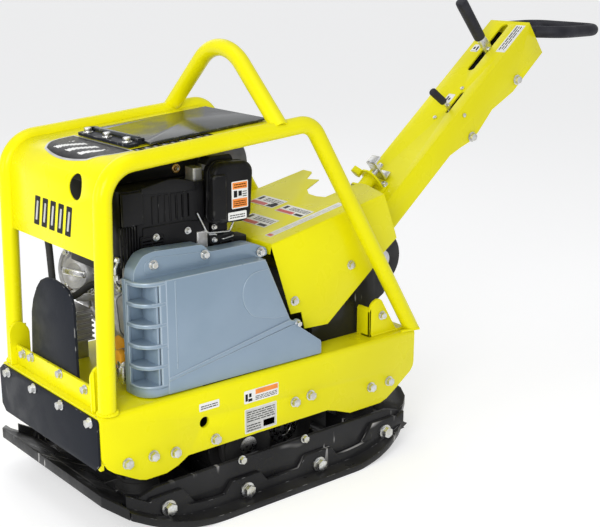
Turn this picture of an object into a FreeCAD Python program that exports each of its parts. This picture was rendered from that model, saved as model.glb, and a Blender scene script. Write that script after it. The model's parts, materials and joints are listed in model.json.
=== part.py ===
import FreeCAD, Part
import math
import os

V = FreeCAD.Vector
os.makedirs("parts", exist_ok=True)

# ---------------------------------------------------------------- driving dimensions, mm
# X runs along the machine (front is -X, handle is +X), Z is up, the sole stands on Z = 0.
plate_thk = 18.0            # base plate
plate_flat_half = 160.0     # flat part of the sole, each way
plate_arc_r = 380.0         # rise of both ends
plate_arc_deg = 30.0
plate_front_x = -414.0
plate_rear_x = 404.0
plate_body_half_y = 206.0   # across the base plate's side walls
shoe_out_y = 250.0          # outer edge of the bolted side shoes
shoe_thk = 14.0
shoe_bolts_xz = [(-281.0, 51.0), (-95.0, 30.0), (92.0, 30.0), (280.0, 51.0)]

mount_xs = (-288.0, 280.0)  # rubber mounts between plate and chassis
mount_y = 120.0
mount_z = 64.0
crossmember_z = 118.0

frame_front_x = -404.0      # chassis
frame_rear_x = 386.0
frame_half_y = 194.0
frame_top_z = 256.5
sheet = 8.0

tube_r = 16.8               # cage pipe, 33.7 mm outside
tube_wall = 3.2
tube_y = 180.0
leg_foot_x = -381.0
leg_lean = 0.028
rail_z0 = 729.2             # rail height at X = 0 and its rise to the rear
rail_rise = 0.071
front_bend_r = 66.0
rear_bend_r = 46.0
rear_leg_foot_x = 388.0
rear_leg_slope = 1.645
hoop_x = 16.0
hoop_top_z = 871.0
hoop_bend_r = 100.0
hoop_deg = 43.0

shaft_gap = 116.0           # exciter shafts, centre to centre
exciter_z = 98.0
exciter_bore_r = 64.0
exciter_wall = 12.0
exciter_half_y = 128.0
gear_teeth = 29
gear_module = 4.0

crank_x = -110.0
crank_z = 392.0
belt_y = -160.0
belt_w = 13.0
clutch_belt_r = 58.0        # radius of the belt's inner face on each pulley
exciter_belt_r = 50.0
belt_thk = 9.0

pivot_x = 335.0             # handle hinge
pivot_z = 411.0
arm_deg = 39.4
arm_half_y = 60.0
arm_top_n = 24.0            # arm top face, above the line through the hinge
arm_end_s = 716.0
arm_sheet = 4.0
pin_n = 56.0                # latch pin, above the same line
pin_r = 6.0
pin_tip_s = 87.6
quadrant_r = 100.0
latch_travel = 10.0
handle_stops_deg = [-30.0, 0.0, 30.0]

dir_pivot = (606.0, -56.0)  # direction lever hinge in arm coordinates (along, up)
dir_stalk_s = 617.0
throttle_pivot = (414.0, -55.0)
throttle_y = -27.0

X, Y, Z = V(1, 0, 0), V(0, 1, 0), V(0, 0, 1)


# ---------------------------------------------------------------- helpers
def box(x0, x1, y0, y1, z0, z1):
    return Part.makeBox(x1 - x0, y1 - y0, z1 - z0, V(x0, y0, z0))


def rod(r, start, end):
    """Round bar between two points."""
    a, b = V(*start), V(*end)
    return Part.makeCylinder(r, (b - a).Length, a, b - a)


def ring(r_out, r_in, start, end):
    return rod(r_out, start, end).cut(rod(r_in, start, end))


def prism_y(points, y0, y1):
    """Outline in X, Z pushed from y0 to y1."""
    wire = Part.makePolygon([V(x, y0, z) for x, z in points] + [V(points[0][0], y0, points[0][1])])
    return Part.Face(wire).extrude(V(0, y1 - y0, 0))


def prism_x(points, x0, x1):
    """Outline in Y, Z pushed from x0 to x1."""
    wire = Part.makePolygon([V(x0, y, z) for y, z in points] + [V(x0, *points[0])])
    return Part.Face(wire).extrude(V(x1 - x0, 0, 0))


def prism_z(points, z0, z1):
    """Outline in X, Y pushed from z0 to z1."""
    wire = Part.makePolygon([V(x, y, z0) for x, y in points] + [V(*points[0], z0)])
    return Part.Face(wire).extrude(V(0, 0, z1 - z0))


def rounded(shape, radius, direction, keep=None):
    """Fillet the straight edges that run along a direction."""
    edges = []
    for edge in shape.Edges:
        if not isinstance(edge.Curve, Part.Line):
            continue
        along = edge.tangentAt(edge.FirstParameter)
        middle = edge.valueAt((edge.FirstParameter + edge.LastParameter) / 2)
        if abs(abs(along.dot(direction)) - 1) < 1e-6 and (keep is None or keep(middle)):
            edges.append(edge)
    return shape.makeFillet(radius, edges)


def mirror_y(shape):
    return shape.mirror(V(0, 0, 0), Y)


def both_sides(shape):
    return [shape, mirror_y(shape)]


def path_wire(points, radii):
    """Straight runs joined by tangent arcs; radii are for the inner points."""
    points = [V(*p) for p in points]
    edges = []
    last = points[0]
    for i, radius in enumerate(radii, start=1):
        before = (points[i - 1] - points[i]).normalize()
        after = (points[i + 1] - points[i]).normalize()
        turn = math.pi - before.getAngle(after)
        reach = radius * math.tan(turn / 2)
        start, end = points[i] + before * reach, points[i] + after * reach
        inward = (before + after).normalize()
        middle = points[i] + inward * (radius / math.cos(turn / 2) - radius)
        if (start - last).Length > 1e-6:
            edges.append(Part.LineSegment(last, start).toShape())
        edges.append(Part.Arc(start, middle, end).toShape())
        last = end
    if (points[-1] - last).Length > 1e-6:
        edges.append(Part.LineSegment(last, points[-1]).toShape())
    return Part.Wire(edges)


def sweep(wire, radius):
    first = wire.Edges[0]
    start = first.valueAt(first.FirstParameter)
    along = first.tangentAt(first.FirstParameter)
    profile = Part.Wire(Part.makeCircle(radius, start, along))
    return wire.makePipeShell([profile], True, False)


def pipe(points, radii, r_out, r_in=0.0):
    wire = path_wire(points, radii)
    solid = sweep(wire, r_out)
    if r_in:
        solid = solid.cut(sweep(wire, r_in))
    return solid


def hex_bolt(at, direction, flats, head, washer_r=0.0, washer=0.0):
    """Bolt head standing on a face, with its washer, out along a direction."""
    out = V(*direction).normalize()
    corner = flats / 2 / math.cos(math.radians(30))
    side = V(0, 0, 1) if abs(out.z) < 0.9 else V(1, 0, 0)
    up = (side - out * side.dot(out)).normalize()
    across = out.cross(up)
    base = V(*at) + out * washer
    ring_points = []
    for k in range(7):
        a = math.radians(60 * k)
        ring_points.append(base + up * (corner * math.cos(a)) + across * (corner * math.sin(a)))
    solid = Part.Face(Part.makePolygon(ring_points)).extrude(out * head)
    if washer:
        solid = solid.fuse(Part.makeCylinder(washer_r, washer, V(*at), out))
    return solid


def on_arm(shape):
    """Turn a shape drawn with X along the arm and Z up from it onto the arm."""
    moved = shape.copy()
    moved.rotate(V(0, 0, 0), Y, -arm_deg)
    moved.translate(V(pivot_x, 0, pivot_z))
    return moved


def save(name, *solids):
    parts = []
    for solid in solids:
        parts.extend(solid.Solids)
    shape = parts[0] if len(parts) == 1 else Part.makeCompound(parts)
    for part in parts:
        if not part.isValid():
            raise ValueError(name + " is not valid")
    shape.exportStep("parts/" + name + ".step")


# ---------------------------------------------------------------- base plate and shoes
def plate_z(x):
    """Height of the sole at a place along the machine."""
    reach = abs(x) - plate_flat_half
    if reach <= 0:
        return 0.0
    top = plate_arc_r * math.sin(math.radians(plate_arc_deg))
    if reach <= top:
        return plate_arc_r - math.sqrt(plate_arc_r ** 2 - reach ** 2)
    slope = math.tan(math.radians(plate_arc_deg))
    return plate_arc_r * (1 - math.cos(math.radians(plate_arc_deg))) + (reach - top) * slope


def sole_edges(lift, x_front, x_rear, y):
    """Sole line, lifted square to itself, from the front end to the rear end."""
    a = math.radians(plate_arc_deg)
    r = plate_arc_r - lift

    def on_arc(sign, angle):
        return V(sign * (plate_flat_half + r * math.sin(angle)), y, plate_arc_r - r * math.cos(angle))

    def tip(sign, x):
        end = on_arc(sign, a)
        run = abs(x - end.x)
        return V(x, y, end.z + run * math.tan(a))

    edges = []
    edges.append(Part.LineSegment(tip(-1, x_front), on_arc(-1, a)).toShape())
    edges.append(Part.Arc(on_arc(-1, a), on_arc(-1, a / 2), on_arc(-1, 0)).toShape())
    edges.append(Part.LineSegment(on_arc(-1, 0), on_arc(1, 0)).toShape())
    edges.append(Part.Arc(on_arc(1, 0), on_arc(1, a / 2), on_arc(1, a)).toShape())
    edges.append(Part.LineSegment(on_arc(1, a), tip(1, x_rear)).toShape())
    return edges


def curved_slab(thickness, x_front, x_rear, y0, y1):
    """Plate that follows the sole."""
    low = sole_edges(0.0, x_front, x_rear, y0)
    high = sole_edges(thickness, x_front, x_rear, y0)
    ends = [Part.LineSegment(low[0].firstVertex().Point, high[0].firstVertex().Point).toShape(),
            Part.LineSegment(low[-1].lastVertex().Point, high[-1].lastVertex().Point).toShape()]
    wire = Part.Wire(Part.__sortEdges__(low + high + ends))
    return Part.Face(wire).extrude(V(0, y1 - y0, 0))


def above_sole(x_front, x_rear, y0, y1, top):
    """Solid between the sole line and an outline above it."""
    low = sole_edges(0.0, x_front, x_rear, y0)
    chain = [low[-1].lastVertex().Point] + [V(x, y0, z) for x, z in top]
    chain.append(low[0].firstVertex().Point)
    upper = [Part.LineSegment(p, q).toShape() for p, q in zip(chain, chain[1:])]
    wire = Part.Wire(Part.__sortEdges__(low + upper))
    return Part.Face(wire).extrude(V(0, y1 - y0, 0))


def base_plate():
    slab = curved_slab(plate_thk, plate_front_x, plate_rear_x, -shoe_out_y, shoe_out_y)
    w = plate_body_half_y
    half = [(plate_front_x, 200), (-384, shoe_out_y - 2), (-383, w), (336, w), (386, 170),
            (400, 142), (plate_rear_x, 110)]
    outline = half + [(x, -y) for x, y in reversed(half)]
    plate = slab.common(prism_z(outline, -1, 200))
    wall_top = [(330, 84), (296, 94), (-300, 94), (-338, 84)]
    wall = above_sole(-352, 344, -w, -w + 10, wall_top)
    for side in both_sides(wall):
        plate = plate.fuse(side)
    for x in (-170, 170):
        plate = plate.fuse(box(x - 6, x + 6, -w + 9, w - 9, plate_thk - 2, 52))
    pads = above_sole(-352, 344, -w, w, [(344, mount_z), (-352, mount_z)])
    for x in mount_xs:
        for y in (-mount_y, mount_y):
            plate = plate.fuse(pads.common(box(x - 46, x + 46, y - 46, y + 46, 20, mount_z)))
    return plate.removeSplitter()


def side_shoe():
    flange = curved_slab(shoe_thk, -381, 345, -shoe_out_y, -plate_body_half_y)
    outline = [(-381, -shoe_out_y), (185, -shoe_out_y), (240, -244), (275, -237), (313, -225),
               (340, -211), (342, -plate_body_half_y), (-381, -plate_body_half_y)]
    flange = flange.common(prism_z(outline, -1, 200))
    web_y0, web_y1 = -plate_body_half_y - 10, -plate_body_half_y
    web = curved_slab(34, -372, 338, web_y0, web_y1)
    shoe = flange.fuse(web)
    for x, z in shoe_bolts_xz:
        low = plate_z(x)
        tab = prism_y([(x - 62, low + 22), (x - 34, z + 27), (x + 34, z + 27), (x + 62, low + 22)],
                      web_y0, web_y1)
        shoe = shoe.fuse(tab)
    return shoe.removeSplitter()


def shoe_bolt_set():
    bolts = []
    for x, z in shoe_bolts_xz:
        bolt = hex_bolt((x, -plate_body_half_y - 10, z), (0, -1, 0), 21, 11, 15.5, 4)
        bolts.extend(both_sides(bolt))
    return bolts


save("base_plate", base_plate())
shoe = side_shoe()
save("side_shoe_left", shoe)
save("side_shoe_right", mirror_y(shoe))
save("shoe_bolts", *shoe_bolt_set())


# ---------------------------------------------------------------- exciter
def stadium(r, y0, y1):
    half = shaft_gap / 2
    left = rod(r, (-half, y0, exciter_z), (-half, y1, exciter_z))
    right = rod(r, (half, y0, exciter_z), (half, y1, exciter_z))
    return left.fuse(right).fuse(box(-half, half, y0, y1, exciter_z - r, exciter_z + r)).removeSplitter()


def exciter_housing():
    outer_r = exciter_bore_r + exciter_wall
    body = stadium(outer_r, -exciter_half_y, exciter_half_y)
    for x in (-112, 84):
        body = body.fuse(box(x, x + 28, -exciter_half_y, exciter_half_y, plate_thk, exciter_z))
    return body.cut(stadium(exciter_bore_r, -exciter_half_y - 1, exciter_half_y + 1)).removeSplitter()


def exciter_covers():
    covers = []
    half = shaft_gap / 2
    for y0 in (-exciter_half_y - 14, exciter_half_y):
        cover = stadium(exciter_bore_r + exciter_wall, y0, y0 + 14)
        for x in (-half, half):
            cover = cover.cut(rod(36, (x, y0 - 1, exciter_z), (x, y0 + 15, exciter_z)))
        covers.append(cover)
    return covers


def exciter_bearings():
    half = shaft_gap / 2
    rings = []
    for y0 in (-exciter_half_y - 14, exciter_half_y):
        for x in (-half, half):
            rings.append(ring(36, 20.05, (x, y0, exciter_z), (x, y0 + 14, exciter_z)))
    return rings


def exciter_shaft(x, near_end):
    shaft = rod(20, (x, near_end, exciter_z), (x, exciter_half_y + 13, exciter_z))
    weight = rod(50, (x, -110, exciter_z), (x, 84, exciter_z))
    weight = weight.cut(box(x - 60, x + 60, -111, 85, exciter_z + 4, exciter_z + 60))
    return shaft.fuse(weight).removeSplitter()


def gear(x, phase):
    """Timing gear with straight-flanked teeth, bored for its shaft."""
    pitch = gear_teeth * gear_module / 2
    root, tip = pitch - 4.8, pitch + 3.6
    step = 2 * math.pi / gear_teeth
    points = []
    for k in range(gear_teeth):
        for r, part in ((root, -0.33), (tip, -0.13), (tip, 0.13), (root, 0.33)):
            a = phase + (k + part) * step
            points.append((x + r * math.cos(a), exciter_z + r * math.sin(a)))
    blank = prism_y(points, 92, 116)
    return blank.cut(rod(20, (x, 91, exciter_z), (x, 117, exciter_z)))


def pulley(x, z, belt_r, y0, y1, bore):
    """V-belt pulley with one groove around the belt's plane."""
    groove = belt_w / 2 + 1.0
    body = rod(belt_r + 7, (x, y0, z), (x, y1, z))
    cut = ring(belt_r + 8, belt_r - 0.6, (x, belt_y - groove, z), (x, belt_y + groove, z))
    return body.cut(cut).cut(rod(bore, (x, y0 - 1, z), (x, y1 + 1, z)))


half_gap = shaft_gap / 2
save("exciter_housing", exciter_housing())
save("exciter_covers", *exciter_covers())
save("exciter_bearings", *exciter_bearings())
save("exciter_shaft_front", exciter_shaft(-half_gap, belt_y - 14))
save("exciter_shaft_rear", exciter_shaft(half_gap, -exciter_half_y - 13))
save("exciter_gear_front", gear(-half_gap, 0.0))
save("exciter_gear_rear", gear(half_gap, math.pi + math.pi / gear_teeth))
save("exciter_pulley", pulley(-half_gap, exciter_z, exciter_belt_r, belt_y - 12, belt_y + 12, 20))


# ---------------------------------------------------------------- rubber mounts and chassis
def isolators():
    mounts = []
    low, high = mount_z, crossmember_z
    for x in mount_xs:
        for y in (-mount_y, mount_y):
            rubber = rod(40, (x, y, low + 4), (x, y, high - 4))
            waist = ring(48, 34, (x, y, low + 19), (x, y, high - 19))
            top_plate = rod(43, (x, y, high - 4), (x, y, high))
            low_plate = rod(43, (x, y, low), (x, y, low + 4))
            mounts.append(rubber.cut(waist).fuse(top_plate).fuse(low_plate).removeSplitter())
    return mounts


def chassis_side_outline():
    return [(frame_front_x, frame_top_z + 1), (frame_front_x, 176), (-393, 154), (-380, 143), (-329, 114),
            (-313, 109), (-267, 109), (-241, 117), (-217, 131), (134, 131), (157, 124), (198, 108),
            (287, 108), (306, 114), (337, 134), (376, 161), (384, 172), (frame_rear_x, 182),
            (frame_rear_x, frame_top_z + 1)]


def chassis_frame():
    y, z = frame_half_y, frame_top_z
    section = [(-y, 100), (-y, z), (y, z), (y, 100), (y - sheet, 100), (y - sheet, z - sheet),
               (-y + sheet, z - sheet), (-y + sheet, 100)]
    shell = prism_x(section, frame_front_x, frame_rear_x)
    shell = rounded(shell, 9.0, X, lambda p: abs(p.y) > y - 1 and p.z > z - 1)
    shell = shell.common(prism_y(chassis_side_outline(), -y - 1, y + 1))
    front = box(frame_front_x, frame_front_x + sheet, -y + sheet, y - sheet, 150, z - sheet)
    rear = box(frame_rear_x - sheet, frame_rear_x, -y + sheet, y - sheet, 182, z - sheet)
    shell = shell.fuse(front).fuse(rear)
    belt_slot = box(-168, -2, -178, -142, z - sheet - 1, z + 1)
    side_hole = rod(11, (-178, -y - 1, 189), (-178, -y + sheet + 1, 189))
    return shell.cut(belt_slot).cut(side_hole).removeSplitter()


def crossmember(x):
    x0, x1 = x - 66, x + 66
    y = frame_half_y - sheet
    low = crossmember_z
    channel = box(x0, x1, -y, y, low, low + 54)
    return channel.cut(box(x0 + 8, x1 - 8, -y - 1, y + 1, low + 8, low + 55))


def front_panel():
    outline = [(-186, 252), (186, 252), (201, 240), (201, 164), (186, 150), (-176, 150), (-190, 164),
               (-190, 246)]
    return prism_x(outline, frame_front_x - 5, frame_front_x)


def chassis_bolts():
    bolts = []
    side_spots = [(-352, 155), (-296, 154), (-247, 147), (-154, 148), (45, 174), (87, 178), (257, 153),
                  (310, 154)]
    for x, z in side_spots:
        bolts.extend(both_sides(hex_bolt((x, -frame_half_y, z), (0, -1, 0), 16, 8, 11, 2)))
    for y in (-166, -58, 50, 160):
        bolts.append(hex_bolt((frame_front_x - 5, y, 242), (-1, 0, 0), 14, 8, 10, 2))
    for x in (-100, 61):
        bolts.extend(both_sides(hex_bolt((x, -plate_body_half_y, 92), (0, -1, 0), 13, 7, 9, 2)))
    for y, z in ((-121, 288), (-27, 291), (88, 291), (123, 288)):
        bolts.append(hex_bolt((-390, y, z), (-1, 0, 0), 13, 7, 9, 2))
    return bolts


save("isolators", *isolators())
save("chassis_frame", chassis_frame())
save("crossmembers", crossmember(mount_xs[0]), crossmember(mount_xs[1] - 8))
save("front_panel", front_panel())
save("chassis_bolts", *chassis_bolts())


# ---------------------------------------------------------------- cage
def leg_x(z):
    return leg_foot_x + leg_lean * (z - frame_top_z)


def rail_z(x):
    return rail_z0 + rail_rise * x


def rail_corners():
    """Where the rail's line meets the two legs' lines, in X and Z."""
    front_x = (leg_foot_x + leg_lean * (rail_z0 - frame_top_z)) / (1 - leg_lean * rail_rise)
    foot = frame_top_z
    rear_x = (rear_leg_foot_x * rear_leg_slope + foot - rail_z0) / (rear_leg_slope + rail_rise)
    return (front_x, rail_z(front_x)), (rear_x, rail_z(rear_x))


def cage_side():
    front, rear = rail_corners()
    below = frame_top_z - 30
    points = [(leg_x(below), -tube_y, below), (front[0], -tube_y, front[1]), (rear[0], -tube_y, rear[1]),
              (rear_leg_foot_x + 30 / rear_leg_slope, -tube_y, below)]
    tube = pipe(points, [front_bend_r, rear_bend_r], tube_r, tube_r - tube_wall)
    return tube.cut(box(-600, 600, -300, 0, 0, frame_top_z))


def lifting_hoop():
    a = math.radians(hoop_deg)
    apex = hoop_top_z + hoop_bend_r * (1 / math.cos(a) - 1)
    foot_y = tube_y + 6
    foot_z = apex - foot_y * math.tan(a)
    hoop = pipe([(hoop_x, -foot_y, foot_z), (hoop_x, 0, apex), (hoop_x, foot_y, foot_z)],
                [hoop_bend_r], tube_r, tube_r - tube_wall)
    for y in (-tube_y, tube_y):
        rail = rod(tube_r, (hoop_x - 60, y, rail_z(hoop_x - 60)), (hoop_x + 60, y, rail_z(hoop_x + 60)))
        hoop = hoop.cut(rail)
    return max(hoop.Solids, key=lambda s: s.Volume)


def leg_brackets():
    plates = []
    inner = tube_y - tube_r
    z = frame_top_z
    gusset = prism_y([(-402, z), (-402, z + 72), (-390, z + 87), (-372, z + 88), (-358, z + 68), (-358, z)],
                     -inner, -inner + 6)
    plates.extend(both_sides(gusset))
    plates.append(box(-390, -384, -inner + 6, inner - 6, z, z + 42))
    rear = prism_y([(268, z), (274, 338), (294, 342), (352, z + 30), (362, z)], -tube_y + 18, -tube_y + 24)
    plates.extend(both_sides(rear))
    return plates


def flat_rail_sheet(x0, x1, y0, y1, thick, lift):
    """Flat sheet parallel to the rails, at a height above their centre line."""
    slab = prism_y([(x0, rail_z(x0) + lift), (x1, rail_z(x1) + lift), (x1, rail_z(x1) + lift + thick),
                    (x0, rail_z(x0) + lift + thick)], y0, y1)
    return slab


def front_cowl():
    """Folded sheet between the legs: front face, large bend, top with its opening."""
    thick = 3.0
    inner_y = tube_y - tube_r
    front, rear = rail_corners()
    low = 535.0
    outer = [(leg_x(low) - 2, low), (front[0] - 2, front[1] + 2), (60, rail_z(60) + 2)]
    line = path_wire([(x, 0, z) for x, z in outer], [62.0])
    start = V(outer[0][0], 0, outer[0][1])
    strip = Part.makePolygon([start + V(0, -inner_y, 0), start + V(0, inner_y, 0),
                              start + V(thick, inner_y, 0), start + V(thick, -inner_y, 0),
                              start + V(0, -inner_y, 0)])
    cowl = line.makePipeShell([strip], True, False)
    cowl = cowl.cut(box(-220, -84, -68, 68, 600, 800))
    for side in both_sides(box(hoop_x - 20, hoop_x + 20, -inner_y - 1, -inner_y + 6, 600, 800)):
        cowl = cowl.cut(side)
    sight = rod(23.5, (-430, -89, 657), (-330, -89, 657))
    return cowl.cut(sight)


side_tube = cage_side()
other_tube = mirror_y(side_tube)
save("cage_left", side_tube)
save("cage_right", other_tube)
save("lifting_hoop", lifting_hoop())
save("leg_brackets", *leg_brackets())
save("front_cowl", front_cowl())

flap_lift = 5.0
flap_hinge_x = -228.0
flap_hinge_z = rail_z(flap_hinge_x) + flap_lift + 7.0


def flap_hinge_bar():
    bar = flat_rail_sheet(-262, -236, -92, 92, 6, flap_lift - 1)
    parts = [bar]
    for y in (-71, 0, 71):
        parts.append(hex_bolt((-250, y, rail_z(-250) + flap_lift + 5), (0, 0, 1), 13, 6, 9, 1.5))
    pin = rod(2.5, (flap_hinge_x, -88, flap_hinge_z), (flap_hinge_x, 88, flap_hinge_z))
    ears = [box(-240, flap_hinge_x + 4, y, y + 6, rail_z(-236) + flap_lift, flap_hinge_z + 4)
            for y in (-90, 84)]
    hinge = pin
    for ear in ears:
        hinge = hinge.fuse(ear)
    solid = bar.fuse(hinge)
    for bolt in parts[1:]:
        solid = solid.fuse(bolt)
    return solid.removeSplitter()


def top_flap():
    plate = flat_rail_sheet(-221, 48, -104, 104, 4, flap_lift)
    knuckle = rod(5.5, (flap_hinge_x, -78, flap_hinge_z), (flap_hinge_x, 78, flap_hinge_z))
    lug = prism_y([(flap_hinge_x, flap_hinge_z - 5.4), (-214, rail_z(-214) + flap_lift + 0.5),
                   (-214, rail_z(-214) + flap_lift + 4), (flap_hinge_x, flap_hinge_z + 3)], -78, 78)
    bore = rod(2.56, (flap_hinge_x, -79, flap_hinge_z), (flap_hinge_x, 79, flap_hinge_z))
    return plate.fuse(knuckle).fuse(lug).cut(bore).removeSplitter()


save("flap_hinge_bar", flap_hinge_bar())
save("top_flap", top_flap())


# ---------------------------------------------------------------- front guard
def front_guard():
    plate = prism_x([(-80, 262), (-80, 432), (-74, 450), (-60, 462), (-38, 468), (-5, 471), (22, 468),
                     (44, 458), (62, 440), (80, 412), (90, 384), (104, 262)], -384, -378)
    return plate


save("front_guard", front_guard())


# ---------------------------------------------------------------- engine
def crankcase():
    body = box(-232, 8, -104, 106, frame_top_z, 470)
    body = rounded(body, 18, Z)
    body = body.cut(box(-206, -14, -84, 86, 282, 452))
    body = body.cut(rod(24.05, (crank_x, -105, crank_z), (crank_x, 107, crank_z)))
    foot = box(-246, 22, -86, 88, frame_top_z, frame_top_z + 12)
    return body.fuse(foot).removeSplitter()


def cylinder_barrel():
    barrel = rod(56, (crank_x, 0, 470), (crank_x, 0, 566))
    for k in range(8):
        z = 476 + 11.5 * k
        fin = rounded(box(crank_x - 78, crank_x + 66, -76, 80, z, z + 3.4), 24, Z)
        barrel = barrel.fuse(fin)
    head = rounded(box(crank_x - 74, crank_x + 70, -70, 76, 566, 612), 14, Z)
    return barrel.fuse(head).removeSplitter()


def rocker_cover():
    lid = rounded(box(-176, -82, -66, 70, 612, 634), 12, Z)
    neck = box(-120, -98, -92, -60, 618, 660)
    return lid.fuse(rounded(neck, 5, Z)).removeSplitter()


def engine_shroud():
    outer = rounded(box(-292, -96, -106, 104, 474, 638), 20, Z)
    outer = outer.cut(box(-288, -60, -102, 100, 460, 634))
    outer = outer.cut(box(-126, -90, -96, -52, 630, 640))
    for k in range(5):
        x = -208 + 15 * k
        outer = outer.cut(box(x, x + 7, -110, -98, 574, 618))
    return outer


def flywheel_housing():
    shell = ring(130, 122, (crank_x, 112, crank_z), (crank_x, 170, crank_z))
    back = ring(130, 60, (crank_x, 106, crank_z), (crank_x, 112, crank_z))
    dome = ring(130, 30, (crank_x, 170, crank_z), (crank_x, 178, crank_z))
    return shell.fuse(back).fuse(dome).removeSplitter()


def fuel_tank():
    tank = rounded(box(-300, -60, -52, 132, 641, 692), 26, Z)
    neck = ring(24, 17, (-150, 0, 692), (-150, 0, 700))
    return tank.fuse(neck).removeSplitter()


def fuel_cap():
    cap = rod(28, (-150, 0, 700.3), (-150, 0, 714))
    return cap.cut(rod(8, (-150, 0, 706), (-150, 0, 715)))


def air_cleaner():
    body = rounded(box(-106, -6, -134, -107, 551, 673), 22, Y)
    body = body.fuse(rounded(box(-94, -6, -107, -80, 551, 673), 20, Y))
    elbow = rod(18, (-62, -80, 590), (-62, -70, 590))
    return body.fuse(elbow).removeSplitter()


def cleaner_clip():
    y = -110
    return pipe([(-124, y, 574), (-104, y, 535), (-50, y, 531), (-42, y, 547)], [12, 8], 2.0)


def muffler():
    can = rod(46, (-34, 104, 622), (120, 104, 622))
    stub = pipe([(-40, 10, 592), (6, 10, 592), (6, 76, 610)], [22.0], 14)
    tail = pipe([(96, 104, 590), (96, 104, 560), (96, 140, 548)], [18.0], 14)
    return can.fuse(stub).fuse(tail).removeSplitter()


def regulator():
    block = box(-286, -252, 92, 158, 296, 362)
    for k in range(6):
        z = 298 + 11 * k
        block = block.fuse(box(-304, -250, 86, 162, z, z + 4))
    foot = box(-282, -256, 104, 146, frame_top_z, 300)
    return block.fuse(foot).removeSplitter()


def oil_cap():
    stem = rod(12, (-232, -34, 322), (-248, -34, 322))
    knob = rod(19, (-248, -34, 322), (-264, -34, 322))
    return stem.fuse(knob)


def fuel_hose():
    points = [(-300, 110, 664), (-334, 110, 664), (-338, 106, 600), (-334, 97, 500), (-330, 96, 394),
              (-284, 96, 394), (-262, 70, 420), (-238, 60, 420)]
    return pipe(points, [22.0, 60.0, 70.0, 30.0, 20.0, 20.0], 6.5)


save("crankcase", crankcase())
save("cylinder_barrel", cylinder_barrel())
save("rocker_cover", rocker_cover())
save("engine_shroud", engine_shroud())
save("flywheel_housing", flywheel_housing())
save("fuel_tank", fuel_tank())
save("fuel_cap", fuel_cap())
save("air_cleaner", air_cleaner())
save("cleaner_clip", cleaner_clip())
save("muffler", muffler())
save("regulator", regulator())
save("oil_cap", oil_cap())
save("fuel_hose", fuel_hose())


# ---------------------------------------------------------------- crankshaft and belt drive
def crankshaft():
    shaft = rod(24, (crank_x, -112, crank_z), (crank_x, 166, crank_z))
    shaft = shaft.fuse(rod(18, (crank_x, belt_y - 14, crank_z), (crank_x, -112, crank_z)))
    for y in (-44, 26):
        web = rod(56, (crank_x, y, crank_z), (crank_x, y + 20, crank_z))
        web = web.cut(box(crank_x - 60, crank_x + 60, y - 1, y + 21, crank_z + 20, crank_z + 60))
        shaft = shaft.fuse(web)
    return shaft.removeSplitter()


def flywheel():
    disc = ring(116, 24, (crank_x, 122, crank_z), (crank_x, 160, crank_z))
    return disc.cut(ring(96, 44, (crank_x, 140, crank_z), (crank_x, 161, crank_z)))


def belt_loop():
    """Flat-sided V-belt around both pulleys."""
    a, b = V(crank_x, 0, crank_z), V(-half_gap, 0, exciter_z)

    def hull(grow):
        r1, r2 = clutch_belt_r + grow, exciter_belt_r + grow
        along = (b - a).normalize()
        side = V(-along.z, 0, along.x)
        lean = math.asin((r1 - r2) / (b - a).Length)

        def at(centre, radius, angle):
            return centre + along * (radius * math.cos(angle)) + side * (radius * math.sin(angle))

        up = math.pi / 2 - lean
        edges = [Part.LineSegment(at(a, r1, up), at(b, r2, up)).toShape(),
                 Part.Arc(at(b, r2, up), at(b, r2, 0), at(b, r2, -up)).toShape(),
                 Part.LineSegment(at(b, r2, -up), at(a, r1, -up)).toShape(),
                 Part.Arc(at(a, r1, -up), at(a, r1, math.pi), at(a, r1, up)).toShape()]
        face = Part.Face(Part.Wire(edges))
        face.translate(V(0, belt_y - belt_w / 2, 0))
        return face.extrude(V(0, belt_w, 0))

    return hull(belt_thk).cut(hull(0.0))


def belt_cover():
    """Cast cover: hollow, open at the back, with louvres round its front corner."""
    face_y, back_y, wall = -179.0, -112.0, 4.0
    low = frame_top_z + 2
    main = [(-300, low), (123, low), (123, 287), (72, 325), (46, 348), (-15, 482), (-300, 482)]
    upper = [(-300, 478), (-13, 478), (14, 482), (12, 494), (-21, 508), (-124, 508), (-140, 525),
             (-258, 530), (-278, 522), (-294, 498)]
    cover = prism_y(main, face_y, back_y).fuse(prism_y(upper, -142, back_y)).removeSplitter()
    cover = cover.fuse(rod(8.5, (62, -183, 336), (62, -150, 336)))
    cover = rounded(cover, 26, Z, lambda p: p.x < -290 and p.y < -170)
    inner_main = [(-296, low - 1), (119, low - 1), (119, 284), (69, 321), (42, 345), (-18, 478),
                  (-296, 478)]
    inner_upper = [(-284, 470), (-20, 470), (-24, 503), (-127, 503), (-142, 520), (-256, 525),
                   (-274, 518), (-284, 496)]
    hollow = prism_y(inner_main, face_y + wall, back_y + 1)
    hollow = rounded(hollow, 22, Z, lambda p: p.x < -290 and p.y < -170)
    cover = cover.cut(hollow).cut(prism_y(inner_upper, -138, back_y + 1))
    for k in range(5):
        z = 292 + 37.5 * k
        cover = cover.cut(box(-302, -246, -182, -124, z, z + 26))
    return cover


def belt_cover_bolts():
    spots = [(-252, 506), (-137, 506), (-4, 489)]
    bolts = [hex_bolt((x, -142, z), (0, -1, 0), 12, 6, 9, 2) for x, z in spots]
    bolts.append(hex_bolt((62, -183, 336), (0, -1, 0), 10, 5, 7.5, 1.5))
    return bolts


save("crankshaft", crankshaft())
save("flywheel", flywheel())
save("clutch_pulley", pulley(crank_x, crank_z, clutch_belt_r, belt_y - 12, belt_y + 30, 18))
save("drive_belt", belt_loop())
save("belt_cover", belt_cover())
save("belt_cover_bolts", *belt_cover_bolts())


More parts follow.
